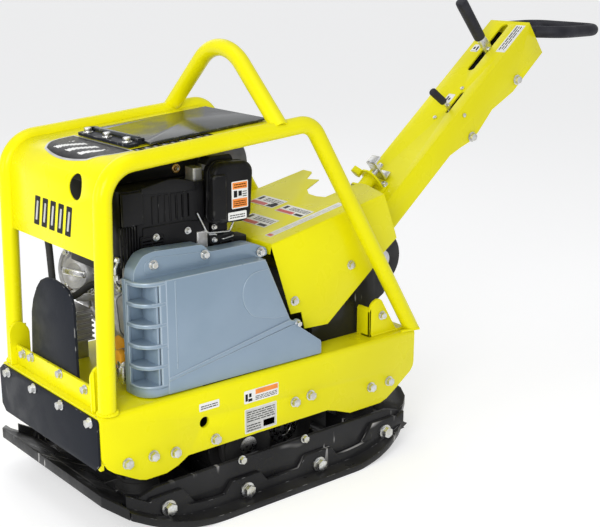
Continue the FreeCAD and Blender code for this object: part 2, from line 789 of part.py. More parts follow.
# ---------------------------------------------------------------- rear hood and handle mounting
def battery():
    case = rounded(box(152, 262, -104, 104, 267, 396), 8, Z)
    for y in (-70, 70):
        case = case.fuse(rod(9, (206, y, 396), (206, y, 408)))
    return case


def handle_bracket():
    cheek = prism_y([(146, frame_top_z), (290, frame_top_z), (292, 268), (306, 292), (326, 315),
                     (352, 330), (384, 380), (334, 472), (290, 452), (200, 350), (146, 320)], -128, -118)
    cheek = cheek.fuse(rod(62, (pivot_x, -128, pivot_z), (pivot_x, -118, pivot_z)))
    cheek = cheek.cut(rod(15, (pivot_x, -129, pivot_z), (pivot_x, -117, pivot_z)))
    floor = box(148, 288, -119, 119, frame_top_z, frame_top_z + 8)
    bar = rod(10, (286, -119, 424), (286, 119, 424))
    return cheek.fuse(mirror_y(cheek)).fuse(floor).fuse(bar).removeSplitter()


def pivot_shaft():
    shaft = rod(15, (pivot_x, -132, pivot_z), (pivot_x, 132, pivot_z))
    for y0, y1 in ((-138, -128), (128, 138)):
        shaft = shaft.fuse(rod(22, (pivot_x, y0, pivot_z), (pivot_x, y1, pivot_z)))
    return shaft.removeSplitter()


def pin_path(turn, start_s, end_s, half_width):
    """Slot that the latch pin needs in the quadrant with the handle turned by an angle."""
    slot = box(start_s, end_s, -20, 20, pin_n - half_width, pin_n + half_width)
    slot.rotate(V(0, 0, 0), Y, -(arm_deg + turn))
    slot.translate(V(pivot_x, 0, pivot_z))
    return slot


def lock_quadrant():
    plate = rod(quadrant_r, (pivot_x, -5, pivot_z), (pivot_x, 5, pivot_z))
    keep = prism_y([(pivot_x, pivot_z), (pivot_x + 130, pivot_z + 40), (pivot_x + 90, pivot_z + 130),
                    (pivot_x - 60, pivot_z + 130), (pivot_x - 110, pivot_z)], -5, 5)
    plate = plate.common(keep).fuse(rod(44, (pivot_x, -5, pivot_z), (pivot_x, 5, pivot_z)))
    plate = plate.cut(rod(31.5, (pivot_x, -6, pivot_z), (pivot_x, 6, pivot_z)))
    plate = plate.cut(rod(10, (286, -6, 424), (286, 6, 424)))
    for turn in handle_stops_deg:
        plate = plate.cut(pin_path(turn, pin_tip_s - latch_travel - 1.5, quadrant_r + 10, pin_r + 0.8))
    return max(plate.Solids, key=lambda s: s.Volume)


def hood_top_z(x):
    return 499 + 0.198 * (x - 21)


def rear_hood():
    """Folded sheet: sloped top with its cut-outs, two sides, short front flange."""
    thick, half = 2.5, 150.0
    side = [(21, hood_top_z(21)), (71, 345), (99, 344), (108, 306), (171, 303), (294, 399), (324, 428),
            (366, 458), (359, 477), (326, hood_top_z(326))]
    near = prism_y(side, -half, -half + thick)
    top = prism_y([(21, hood_top_z(21)), (350, hood_top_z(350)), (350, hood_top_z(350) - thick),
                   (21, hood_top_z(21) - thick)], -half, half)
    front = box(21, 21 + thick, -half, half, 478, hood_top_z(22))
    hood = near.fuse(mirror_y(near)).fuse(top).fuse(front)
    bay = [(360, -60), (338, -42), (254, -42), (248, -20), (250, 8), (268, 36), (322, 58), (312, 90),
           (346, 112), (360, 112)]
    rear_trim = [(326, -151), (352, -60), (360, -60), (360, -151)]
    return hood.cut(prism_z(bay, 520, 600)).cut(prism_z(rear_trim, 520, 600)).removeSplitter()


def hood_bolts():
    bolts = []
    for x, z in ((233, 421), (80, 372)):
        bolts.extend(both_sides(hex_bolt((x, -150, z), (0, -1, 0), 13, 6, 10, 2)))
    return bolts


save("battery", battery())
save("handle_bracket", handle_bracket())
save("pivot_shaft", pivot_shaft())
save("lock_quadrant", lock_quadrant())
save("rear_hood", rear_hood())
save("hood_bolts", *hood_bolts())


# ---------------------------------------------------------------- handle
def slot_cut(s0, s1, y, width):
    """Round-ended slot through the arm's top."""
    r = width / 2
    body = box(s0 + r, s1 - r, y - r, y + r, arm_top_n - 10, arm_top_n + 5)
    for s in (s0 + r, s1 - r):
        body = body.fuse(rod(r, (s, y, arm_top_n - 10), (s, y, arm_top_n + 5)))
    return body


def handle_arm():
    """Folded channel: top and two sides with their belly, closed at the head."""
    top_s = 106.0
    under = [(712, -67), (580, -70), (502, -53), (436, -62), (406, -61), (374, -49), (336, -38), (70, -40)]
    side_line = [(top_s, arm_top_n), (arm_end_s, arm_top_n)] + under + [(0, -30), (-24, -18), (-30, 0),
                                                                        (-24, 18), (0, 30), (60, 24)]
    near = prism_y(side_line, -arm_half_y, -arm_half_y + arm_sheet)
    near = near.fuse(rod(38, (0, -arm_half_y, 0), (0, -arm_half_y + arm_sheet, 0)))
    near = near.cut(rod(30, (0, -arm_half_y - 1, 0), (0, -arm_half_y + arm_sheet + 1, 0)))
    top = box(top_s, arm_end_s, -arm_half_y, arm_half_y, arm_top_n - arm_sheet, arm_top_n)
    end = prism_y([(712, -67), (708, -67), (712, arm_top_n), (arm_end_s, arm_top_n)],
                  -arm_half_y, arm_half_y)
    arm = near.fuse(mirror_y(near)).fuse(top).fuse(end)
    arm = arm.cut(slot_cut(546, 705, 4, 20)).cut(slot_cut(408, 478, throttle_y, 10))
    for s, n in (dir_pivot, throttle_pivot):
        arm = arm.cut(rod(6, (s, -arm_half_y - 1, n), (s, arm_half_y + 1, n)))
    return on_arm(arm.removeSplitter())


def pivot_tube():
    tube = ring(30, 15.06, (pivot_x, -100, pivot_z), (pivot_x, 100, pivot_z))
    return tube


def loop_handle():
    """Open grip loop, level, its two ends welded to the arm's head."""
    z = 860.0
    grip_r = 14.0
    near = [(880, -44, z), (906, -44, z), (950, -103, z), (1089, -103, z)]
    far = [(x, -y, z) for x, y, z in reversed(near)]
    radii = [20.0, 60.0, 44.0]
    loop = pipe(near + far, radii + radii[::-1], grip_r)
    head = on_arm(box(500, arm_end_s, -arm_half_y, arm_half_y, -90, arm_top_n))
    return max(loop.cut(head).Solids, key=lambda solid: solid.Volume)


def arm_bolts():
    bolts = []
    for s, n in (dir_pivot, throttle_pivot):
        axle = rod(6, (s, -arm_half_y, n), (s, arm_half_y, n))
        for sign in (-1, 1):
            head = hex_bolt((s, sign * arm_half_y, n), (0, sign, 0), 16, 8, 12, 2)
            axle = axle.fuse(head)
        bolts.append(axle)
    for s, y in ((388, -8), (486, -20)):
        bolts.append(hex_bolt((s, y, arm_top_n), (0, 0, 1), 9, 4))
    bolts.append(hex_bolt((424, -arm_half_y, 6), (0, -1, 0), 9, 4))
    return [on_arm(b) for b in bolts]


def latch_bracket():
    base = box(118, 176, -26, 26, arm_top_n, arm_top_n + 4)
    flanges = []
    for s in (122, 160):
        plate = prism_x([(-26, arm_top_n), (26, arm_top_n), (20, 74), (12, 80), (-12, 80), (-20, 74)],
                        s, s + 5)
        flanges.append(plate)
    barrel = rod(14, (127, 0, pin_n), (160, 0, pin_n))
    bracket = base.fuse(flanges[0]).fuse(flanges[1]).fuse(barrel)
    bracket = bracket.cut(rod(pin_r + 0.08, (110, 0, pin_n), (180, 0, pin_n)))
    bolt = hex_bolt((171, -19, arm_top_n + 4), (0, 0, 1), 9, 5)
    return on_arm(bracket.fuse(bolt).removeSplitter())


def latch_pin():
    pin = rod(pin_r, (pin_tip_s, 0, pin_n), (206, 0, pin_n))
    knob = box(184, 206, -15, 15, 30, 34).fuse(box(184, 188, -15, 15, 30, 84))
    knob = knob.fuse(box(184, 206, -15, 15, 80, 84))
    return on_arm(pin.fuse(knob).removeSplitter())


def direction_lever():
    s, n = dir_pivot
    hub = rod(15, (s, -9, n), (s, 17, n))
    blade = prism_y([(s - 12, n), (s + 12, n), (dir_stalk_s + 8, 20), (dir_stalk_s + 6, 58),
                     (dir_stalk_s - 6, 58), (dir_stalk_s - 8, 20)], 0, 8)
    stalk = rod(6, (dir_stalk_s, 4, 40), (dir_stalk_s, 4, 92))
    lever = hub.fuse(blade).fuse(stalk)
    return on_arm(lever.cut(rod(6.05, (s, -10, n), (s, 18, n))).removeSplitter())


def direction_grip():
    grip = rod(14, (dir_stalk_s, 4, 60), (dir_stalk_s, 4, 174))
    grip = grip.cut(rod(6, (dir_stalk_s, 4, 59), (dir_stalk_s, 4, 92)))
    return on_arm(grip)


def throttle_lever():
    s, n = throttle_pivot
    y = throttle_y
    hub = rod(12, (s, y - 8, n), (s, y + 8, n))
    blade = prism_y([(s - 7, n), (s + 8, n), (s + 11, 24), (s + 8, 52), (s + 1, 52), (s + 2, 24)],
                    y - 2, y + 2)
    stalk = rod(3, (s + 4.5, y, 46), (s - 4, y, 76))
    lever = hub.fuse(blade).fuse(stalk)
    return on_arm(lever.cut(rod(6.05, (s, y - 9, n), (s, y + 9, n))).removeSplitter())


def throttle_grip():
    s = throttle_pivot[0]
    y = throttle_y
    lever_top = prism_y([(s - 7, 20), (s + 20, 20), (s + 20, 52), (s - 7, 52)], y - 3, y + 3)
    grip = rod(9, (s + 3, y, 50), (s - 10, y, 97))
    grip = grip.cut(lever_top).cut(rod(3, (s + 4.5, y, 46), (s - 4, y, 76)))
    return on_arm(max(grip.Solids, key=lambda solid: solid.Volume))


save("handle_arm", handle_arm())
save("pivot_tube", pivot_tube())
save("loop_handle", loop_handle())
save("arm_bolts", *arm_bolts())
save("latch_bracket", latch_bracket())
save("latch_pin", latch_pin())
save("direction_lever", direction_lever())
save("direction_grip", direction_grip())
save("throttle_lever", throttle_lever())
save("throttle_grip", throttle_grip())
print("saved", len(os.listdir("parts")), "parts")
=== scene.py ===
import json
import math
import bmesh
import bpy
from mathutils import Matrix, Vector


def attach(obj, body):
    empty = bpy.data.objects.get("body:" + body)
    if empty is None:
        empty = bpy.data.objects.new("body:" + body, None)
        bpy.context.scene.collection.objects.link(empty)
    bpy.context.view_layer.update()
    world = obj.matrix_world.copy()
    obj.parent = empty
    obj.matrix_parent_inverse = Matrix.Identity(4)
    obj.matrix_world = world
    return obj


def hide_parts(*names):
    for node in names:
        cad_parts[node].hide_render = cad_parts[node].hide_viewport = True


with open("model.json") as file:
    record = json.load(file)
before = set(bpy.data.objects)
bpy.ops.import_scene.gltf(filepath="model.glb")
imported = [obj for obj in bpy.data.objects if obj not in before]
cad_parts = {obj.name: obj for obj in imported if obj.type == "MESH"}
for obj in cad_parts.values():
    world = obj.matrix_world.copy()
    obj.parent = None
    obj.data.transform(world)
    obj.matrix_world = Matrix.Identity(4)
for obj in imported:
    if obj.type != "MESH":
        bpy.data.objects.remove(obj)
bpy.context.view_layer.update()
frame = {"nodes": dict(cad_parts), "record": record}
nodes = frame["nodes"]
bodyOf = {node: body for body, members in frame["record"]["behaviour"]["bodies"].items() for node in members}
slotOf = {part["node"]: part["material_slot"] for part in frame["record"]["subparts"]}
ops = bmesh.ops
print("frame loaded:", len(nodes), "nodes")


def addObject(name, data):
    made = bpy.data.objects.new(name, data)
    bpy.context.scene.collection.objects.link(made)
    return made



# camera and light

cameraValues = {
    "location": (-1.350091, -1.896081, 1.082175),
    "rotation": (math.pi / 2 - 0.305, 0.0, -0.682),
    "lens": 69.77,
    "shift": (0.0174, 0.0624),
}
lightValues = {  # name: location, aim, size, power
    "key": ((-2.1, -1.7, 1.5), (-0.1, 0, 0.4), 1.3, 40),
    "top": ((-0.3, -0.2, 3.0), (0.1, 0, 0.3), 2.4, 16),
    "fill": ((2.6, -2.4, 1.8), (0.2, 0, 0.4), 2.0, 5),
    "back": ((0.8, 3.0, 2.4), (0.2, 0, 0.4), 2.2, 12),
    "nose": ((-2.8, 0.3, 1.1), (0, 0, 0.4), 1.3, 15),
}
floorValues = {"size": 60.0, "color": (0.62, 0.62, 0.62, 1), "glow": 0.48, "rough": 0.7,
               "world": (0.97, 0.98, 1.0, 1), "worldPower": 0.56, "backdrop": (1, 1, 1, 1)}


def setInputs(node, values):
    for key, value in values.items():
        node.inputs[key].default_value = value


def makeCamera():
    data = bpy.data.cameras.new("camera")
    data.lens = cameraValues["lens"]
    data.sensor_width = 36
    data.shift_x, data.shift_y = cameraValues["shift"]
    camera = addObject("camera", data)
    camera.location = cameraValues["location"]
    camera.rotation_euler = cameraValues["rotation"]
    bpy.context.scene.camera = camera
    bpy.context.scene.view_settings.view_transform = "Standard"


def makeLights():
    for name, (place, aim, size, power) in lightValues.items():
        data = bpy.data.lights.new(name, "AREA")
        data.shape = "DISK"
        data.size = size
        data.energy = power
        light = addObject(name, data)
        light.location = place
        light.rotation_euler = (Vector(aim) - Vector(place)).to_track_quat("-Z", "Y").to_euler()
    world = bpy.data.worlds.new("studio")
    world.use_nodes = True
    tree = world.node_tree
    dome = tree.nodes["Background"]
    setInputs(dome, {"Color": floorValues["world"], "Strength": floorValues["worldPower"]})
    kinds = ("Background", "LightPath", "MixShader")
    backdrop, seen, mix = (tree.nodes.new("ShaderNode" + kind) for kind in kinds)
    backdrop.inputs["Color"].default_value = floorValues["backdrop"]
    tree.links.new(seen.outputs["Is Camera Ray"], mix.inputs[0])
    tree.links.new(dome.outputs[0], mix.inputs[1])
    tree.links.new(backdrop.outputs[0], mix.inputs[2])
    tree.links.new(mix.outputs[0], tree.nodes["World Output"].inputs["Surface"])
    bpy.context.scene.world = world


def makeFloor():
    bm = bmesh.new()
    ops.create_grid(bm, x_segments=2, y_segments=2, size=floorValues["size"] / 2)
    mesh = bpy.data.meshes.new("floor")
    bm.to_mesh(mesh)
    bm.free()
    floor = addObject("floor", mesh)
    material = bpy.data.materials.new("floorPaper")
    material.use_nodes = True
    setInputs(material.node_tree.nodes["Principled BSDF"], {
        "Base Color": floorValues["color"], "Roughness": floorValues["rough"],
        "Emission Color": (1, 1, 1, 1), "Emission Strength": floorValues["glow"]})
    mesh.materials.append(material)


makeCamera()
makeLights()
makeFloor()
print("camera, light and floor made")

# finishes

looks = {
    "yellow_paint": {
        "base": (0.80, 0.75, 0.002), "shade": (0.75, 0.69, 0.002), "mottle": 3.0, "rough": (0.24, 0.36),
        "specular": 0.3, "tint": (1.0, 0.95, 0.3), "coat": 0.04, "bump": (190, 0.00012),
        "wear_and_sheen": ((0.30, 0.24, 0.08), 0.66),
        "dust": ((0.62, 0.56, 0.1), 0.06)},
    "black_plate": {
        "specular": 0.16,
        "base": (0.006, 0.006, 0.007), "shade": (0.013, 0.013, 0.014), "mottle": 7.0, "rough": (0.26, 0.52),
        "coat": 0.15, "bump": (85, 0.0006), "wear_and_sheen": ((0.16, 0.16, 0.16), 0.62),
        "scratch": ((0.42, 0.41, 0.40), 0.64), "dust": ((0.14, 0.135, 0.13), 0.10)},
    "black_iron": {
        "specular": 0.12,
        "base": (0.008, 0.008, 0.009), "shade": (0.02, 0.02, 0.02), "mottle": 12.0, "rough": (0.42, 0.7),
        "bump": (140, 0.0012), "wear_and_sheen": ((0.12, 0.12, 0.12), 0.62), "dust": ((0.1, 0.09, 0.08), 0.15)},
    "black_panel": {
        "specular": 0.06,
        "base": (0.011, 0.013, 0.018), "shade": (0.016, 0.018, 0.024), "mottle": 6.0, "rough": (0.3, 0.46),
        "bump": (220, 0.0002), "wear_and_sheen": ((0.22, 0.22, 0.22), 0.64), "scratch": ((0.12, 0.12, 0.12), 0.68),
        "dust": ((0.12, 0.12, 0.12), 0.06)},
    "black_rubber": {
        "specular": 0.22,
        "base": (0.014, 0.014, 0.014), "shade": (0.03, 0.03, 0.03), "mottle": 20.0, "rough": (0.6, 0.8),
        "bump": (300, 0.0004), "dust": ((0.12, 0.11, 0.1), 0.3)},
    "grip_rubber": {
        "specular": 0.22,
        "base": (0.012, 0.012, 0.018), "shade": (0.022, 0.022, 0.03), "mottle": 25.0, "rough": (0.42, 0.6),
        "bump": (520, 0.0004), "dust": ((0.1, 0.1, 0.1), 0.12)},
    "zinc": {
        "base": (0.66, 0.67, 0.68), "shade": (0.56, 0.55, 0.50), "mottle": 60.0, "rough": (0.22, 0.42),
        "metallic": 1.0, "bump": (400, 0.0002), "wear_and_sheen": ((0.85, 0.85, 0.85), 0.4)},
    "bright_steel": {
        "base": (0.55, 0.55, 0.56), "shade": (0.42, 0.41, 0.40), "mottle": 25.0, "rough": (0.2, 0.36),
        "metallic": 1.0, "bump": (500, 0.0002), "wear_and_sheen": ((0.8, 0.8, 0.8), 0.4)},
    "dark_steel": {
        "base": (0.11, 0.11, 0.115), "shade": (0.17, 0.14, 0.12), "mottle": 14.0, "rough": (0.4, 0.62),
        "metallic": 0.8, "bump": (200, 0.0004), "wear_and_sheen": ((0.4, 0.4, 0.4), 0.5)},
    "engine_alloy": {
        "base": (0.48, 0.48, 0.49), "shade": (0.34, 0.33, 0.32), "mottle": 18.0, "rough": (0.38, 0.6),
        "metallic": 0.75, "bump": (260, 0.0007), "wear_and_sheen": ((0.7, 0.7, 0.7), 0.45),
        "dust": ((0.2, 0.18, 0.15), 0.12)},
    "cover_alloy": {
        "base": (0.235, 0.315, 0.405), "shade": (0.21, 0.29, 0.375), "mottle": 4.0, "rough": (0.34, 0.46),
        # the lighter edge colour, laid on almost every edge of the belt cover, is a painted highlight
        "metallic": 0.3, "coat": 0.25, "bump": (420, 0.0004), "wear_and_sheen": ((0.33, 0.41, 0.49), 0.36),
        "dust": ((0.42, 0.44, 0.46), 0.06)},
    "engine_black": {
        "specular": 0.14,
        "base": (0.006, 0.006, 0.007), "shade": (0.012, 0.012, 0.013), "mottle": 9.0, "rough": (0.28, 0.46),
        "bump": (260, 0.0003), "wear_and_sheen": ((0.07, 0.07, 0.07), 0.66), "dust": ((0.08, 0.08, 0.08), 0.04)},
    "black_plastic": {
        "specular": 0.14,
        "base": (0.005, 0.005, 0.006), "shade": (0.009, 0.009, 0.010), "mottle": 14.0, "rough": (0.36, 0.5),
        "bump": (700, 0.0003), "wear_and_sheen": ((0.03, 0.03, 0.03), 0.6), "dust": ((0.1, 0.1, 0.1), 0.05)},
    "orange_plastic": {
        "base": (0.90, 0.42, 0.03), "shade": (0.80, 0.34, 0.02), "mottle": 30.0, "rough": (0.3, 0.42),
        "bump": (500, 0.0002)},
    "gloss_flap": {
        "base": (0.012, 0.015, 0.017), "shade": (0.030, 0.034, 0.036), "mottle": 2.6, "rough": (0.10, 0.22),
        "specular": 0.4, "bump": (24, 0.0006), "wear_and_sheen": ((0.2, 0.2, 0.2), 0.6),
        "scratch": ((0.10, 0.11, 0.11), 0.66),
        "dust": ((0.2, 0.21, 0.2), 0.10)},
    "brass": {
        "base": (0.72, 0.50, 0.20), "shade": (0.60, 0.40, 0.16), "mottle": 50.0, "rough": (0.24, 0.4),
        "metallic": 1.0, "bump": (400, 0.0002), "wear_and_sheen": ((0.85, 0.65, 0.35), 0.5)},
}
labelLooks = {  # sticker colours: base, shade, and what differs from a plain sticker
    "label_white": ((0.80, 0.80, 0.78), (0.72, 0.72, 0.70), {}),
    "label_orange": ((0.86, 0.26, 0.03), (0.78, 0.22, 0.02), {}),
    "label_black": ((0.006, 0.006, 0.008), (0.010, 0.010, 0.012), {"specular": 0.12, "rough": (0.28, 0.4)}),
    "label_red": ((0.60, 0.05, 0.03), (0.52, 0.04, 0.03), {}),
    "label_silver": ((0.62, 0.62, 0.60), (0.52, 0.52, 0.50),
                     {"mottle": 30.0, "rough": (0.3, 0.45), "metallic": 0.4}),
}
for name, (base, shaded, other) in labelLooks.items():
    looks[name] = {"base": base, "shade": shaded, "mottle": 40.0, "rough": (0.3, 0.42),
                   "bump": (300, 0.0001)} | other


class Finish:
    def __init__(self, name):
        self.material = bpy.data.materials.new(name)
        self.material.use_nodes = True
        self.tree = self.material.node_tree
        self.shader = self.tree.nodes["Principled BSDF"]
        self.place = self.tree.nodes.new("ShaderNodeTexCoord")

    def node(self, kind, **values):
        made = self.tree.nodes.new("ShaderNode" + kind)
        for key, value in values.items():
            setattr(made, key, value)
        return made

    def feed(self, socket, value):
        if isinstance(value, bpy.types.NodeSocket):
            self.tree.links.new(value, socket)
        else:
            socket.default_value = value

    def noise(self, scale, detail=4.0, stretch=None):
        made = self.node("TexNoise")
        setInputs(made, {"Scale": scale, "Detail": detail})
        source = self.place.outputs["Object"]
        if stretch:
            mapping = self.node("Mapping")
            setInputs(mapping, {"Rotation": stretch[0], "Scale": stretch[1]})
            self.feed(mapping.inputs["Vector"], source)
            source = mapping.outputs["Vector"]
        self.feed(made.inputs["Vector"], source)
        return made.outputs["Fac"]

    def span(self, source, low, high, toLow=0.0, toHigh=1.0):
        made = self.node("MapRange", interpolation_type="SMOOTHSTEP")
        for key, value in (("Value", source), ("From Min", low), ("From Max", high), ("To Min", toLow),
                           ("To Max", toHigh)):
            self.feed(made.inputs[key], value)
        return made.outputs["Result"]

    def times(self, a, b):
        made = self.node("Math", operation="MULTIPLY")
        self.feed(made.inputs[0], a)
        self.feed(made.inputs[1], b)
        return made.outputs["Value"]

    def blend(self, factor, first, second):
        made = self.node("Mix", data_type="RGBA")
        self.feed(made.inputs[0], factor)
        for socket, value in ((made.inputs[6], first), (made.inputs[7], second)):
            self.feed(socket, value if isinstance(value, bpy.types.NodeSocket) else (*value, 1))
        return made.outputs[2]


def makeFinish(name, look):
    f = Finish(name)
    shader = f.shader
    setInputs(shader, {
        "Metallic": look.get("metallic", 0.0), "Coat Weight": look.get("coat", 0.0), "Coat Roughness": 0.12,
        "Specular IOR Level": look.get("specular", 0.5), "Specular Tint": (*look.get("tint", (1, 1, 1)), 1)})
    broad = f.noise(look["mottle"], 5.0)
    color = f.blend(f.span(broad, 0.38, 0.64), look["base"], look["shade"])
    rough = f.span(f.noise(look["mottle"] * 4, 3.0), 0.3, 0.7, *look["rough"])
    if "scratch" in look:
        tint, start = look["scratch"]
        for turn, spread in (((0.3, 0.5, 0.2), (3, 90, 14)), ((0.9, 0.1, 1.2), (70, 4, 10))):
            line = f.span(f.noise(1.0, 2.0, (turn, spread)), start, start + 0.05)
            patch = f.span(f.noise(6.0, 2.0), 0.5, 0.62)
            color = f.blend(f.times(line, patch), color, tint)
    # edge colour on the rounded faces: chipped, worn edges on most finishes; on cover_alloy it covers nearly
    # every edge as a painted highlight
    if "wear_and_sheen" in look:
        tint, start = look["wear_and_sheen"]
        edge = f.node("Attribute", attribute_name="edgeWearAndSheen")
        chips_and_sheen = f.times(edge.outputs["Fac"], f.span(f.noise(55.0, 5.0), start - 0.06, start + 0.02))
        color = f.blend(chips_and_sheen, color, tint)
    if "dust" in look:
        tint, amount = look["dust"]
        up = f.node("SeparateXYZ")
        f.feed(up.inputs[0], f.place.outputs["Normal"])
        cover = f.times(f.span(up.outputs["Z"], 0.1, 0.95, 0.25, 1.0),
                        f.span(f.noise(9.0, 6.0), 0.35, 0.75, 0.2, 1.0))
        cover = f.times(cover, amount * 1.6)
        color = f.blend(cover, color, tint)
    f.feed(shader.inputs["Base Color"], color)
    f.feed(shader.inputs["Roughness"], rough)
    scale, depth = look["bump"]
    bump = f.node("Bump")
    setInputs(bump, {"Strength": 0.6, "Distance": depth})
    f.feed(bump.inputs["Height"], f.noise(scale, 4.0))
    f.feed(shader.inputs["Normal"], bump.outputs["Normal"])
    return f.material


finishes = {name: makeFinish(name, look) for name, look in looks.items()}
print("finishes made:", len(finishes))

# small helpers for shaping pieces


def mm(*values):
    return Vector(values) / 1000


def faceOut(bm):
    ops.recalc_face_normals(bm, faces=bm.faces)


def vertsIn(geometry):
    return [item for item in geometry if isinstance(item, bmesh.types.BMVert)]


def shift(*place):
    return Matrix.Translation(mm(*place))


def turned(step, steps, axis):
    return Matrix.Rotation(math.tau * step / steps, 4, axis)


def sharpEdges(bm, angle):
    return [edge for edge in bm.edges
            if len(edge.link_faces) == 2 and edge.calc_face_angle(0) > math.radians(angle)]


def shade(bm, sharp):
    for face in bm.faces:
        face.smooth = True
    for edge in sharpEdges(bm, sharp):
        edge.smooth = False


def addPiece(name, bm, look, body, replaced=(), sharp=32, extra=()):
    shade(bm, sharp)
    mesh = bpy.data.meshes.new(name)
    bm.to_mesh(mesh)
    bm.free()
    for finish in (look, *extra):
        mesh.materials.append(finishes[finish])
    made = addObject(name, mesh)
    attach(made, body)
    if replaced:
        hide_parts(*replaced)


def softEdges(bm, width, segments=2, angle=28):
    # rounds every edge sharper than the angle; the rounded faces take the edge colour, which is chipped, worn
    # paint or metal on most finishes and a painted highlight on the belt cover
    layer = bm.faces.layers.float.get("edgeWearAndSheen") or bm.faces.layers.float.new("edgeWearAndSheen")
    made = ops.bevel(bm, geom=sharpEdges(bm, angle), offset=width, offset_type="OFFSET", affect="EDGES",
                     segments=segments, profile=0.5, material=-1, clamp_overlap=True)
    for face in made["faces"]:
        face[layer] = 1.0


def nodeCopy(name):
    bm = bmesh.new()
    bm.from_mesh(nodes[name].data)
    ops.remove_doubles(bm, verts=bm.verts, dist=0.00001)
    ops.dissolve_limit(bm, angle_limit=math.radians(0.6), use_dissolve_boundaries=False, verts=bm.verts,
                       edges=bm.edges, delimit={"NORMAL"})
    return bm


def refined(name, width):
    bm = nodeCopy(name)
    softEdges(bm, width)
    addPiece(name + "_finished", bm, slotOf[name], bodyOf[name], (name,))


def add(bm, part, finish=0, place=None):
    # adds a part's mesh to a piece; a finish of None keeps the part's own slots
    for face in part.faces:
        face.material_index = face.material_index if finish is None else finish
    if place:
        ops.transform(part, matrix=place, verts=part.verts)
    held = bpy.data.meshes.new("held")
    part.to_mesh(held)
    part.free()
    bm.from_mesh(held)
    bpy.data.meshes.remove(held)


def faceOn(bm, verts):
    edges = []
    for index, vert in enumerate(verts):
        pair = (verts[index - 1], vert)
        edges.append(bm.edges.get(pair) or bm.edges.new(pair))
    return ops.contextual_create(bm, geom=edges)["faces"]


def panel(points, low, high, plane="y", rounds=0, soft=0.8, segments=2, angle=28):
    # flat outline in mm, given depth along one axis; one corner radius for all, or one for each
    part = bmesh.new()
    spot = {"x": lambda a, b: (low, a, b), "y": lambda a, b: (a, low, b),
            "z": lambda a, b: (a, b, low)}[plane]
    verts = [part.verts.new(mm(*spot(a, b))) for a, b in points]
    faceOn(part, verts)
    radii = rounds if isinstance(rounds, tuple) else (rounds,) * len(verts)
    for vert, radius in zip(verts, radii):
        if radius:
            ops.bevel(part, geom=[vert], offset=radius / 1000, offset_type="OFFSET", affect="VERTICES",
                      segments=7, profile=0.5, material=-1)
    grown = ops.extrude_face_region(part, geom=part.faces[:])["geom"]
    push = {"x": mm(high - low, 0, 0), "y": mm(0, high - low, 0), "z": mm(0, 0, high - low)}[plane]
    ops.translate(part, verts=vertsIn(grown), vec=push)
    faceOut(part)
    if soft:
        softEdges(part, soft / 1000, segments, angle)
    return part


def block(low, high, soft=0.8, segments=2):
    part = bmesh.new()
    ops.create_cube(part, size=1.0)
    size = mm(*[b - a for a, b in zip(low, high)])
    middle = mm(*[(a + b) / 2 for a, b in zip(low, high)])
    ops.transform(part, matrix=Matrix.Translation(middle) @ Matrix.Diagonal((*size, 1)), verts=part.verts)
    if soft:
        softEdges(part, soft / 1000, segments)
    return part


def turnTo(start, heading):
    return Matrix.Translation(start) @ Vector(heading).to_track_quat("Z", "Y").to_matrix().to_4x4()


def barrel(start, end, r, sides=40, soft=0.6):
    start, end = mm(*start), mm(*end)
    part = bmesh.new()
    length = (end - start).length
    ops.create_cone(part, cap_ends=True, segments=sides, radius1=r / 1000, radius2=r / 1000, depth=length,
                    matrix=turnTo((start + end) / 2, end - start))
    if soft:
        softEdges(part, soft / 1000)
    return part


def lathe(start, heading, profile, sides=48):
    # profile: (radius, height) pairs in mm, turned round the axis
    part = bmesh.new()
    verts = [part.verts.new((r / 1000, 0, h / 1000)) for r, h in profile]
    edges = [part.edges.new(pair) for pair in zip(verts, verts[1:])]
    ops.spin(part, geom=verts + edges, cent=(0, 0, 0), axis=(0, 0, 1), dvec=(0, 0, 0), angle=math.tau,
             steps=sides, use_merge=True)
    ops.remove_doubles(part, verts=part.verts, dist=0.000001)
    faceOut(part)
    ops.transform(part, matrix=turnTo(mm(*start), heading), verts=part.verts)
    return part


def ringEdges(verts):
    kept = set(verts)
    return [edge for edge in {e for v in kept for e in v.link_edges} if all(v in kept for v in edge.verts)]


def pipe(points, bends, r, sides, steps):
    # straight runs and round bends, drawn out from one ring
    part = bmesh.new()
    points = [mm(*point) for point in points]
    heading = (points[1] - points[0]).normalized()
    ring = ops.create_circle(part, cap_ends=False, segments=sides, radius=r / 1000,
                             matrix=turnTo(points[0], heading))["verts"]
    first, here = ring, points[0]
    for index in range(1, len(points)):
        stop, turn = points[index], None
        if index < len(points) - 1:
            after = (points[index + 1] - points[index]).normalized()
            turn = heading.angle(after)
            cut = bends[index - 1] / 1000 * math.tan(turn / 2)
            stop = points[index] - heading * cut
        if (stop - here).length > 0.00001:
            grown = ops.extrude_edge_only(part, edges=ringEdges(ring))["geom"]
            ring = vertsIn(grown)
            ops.translate(part, verts=ring, vec=stop - here)
        if turn:
            axis = heading.cross(after).normalized()
            centre = stop + axis.cross(heading) * bends[index - 1] / 1000
            made = ops.spin(part, geom=ring + ringEdges(ring), cent=centre, axis=axis, dvec=(0, 0, 0),
                            angle=turn, steps=steps, use_merge=False)
            ring = vertsIn(made["geom_last"])
            here, heading = points[index] + after * cut, after
    for loop in (first, ring):
        ops.contextual_create(part, geom=ringEdges(loop))
    faceOut(part)
    return part


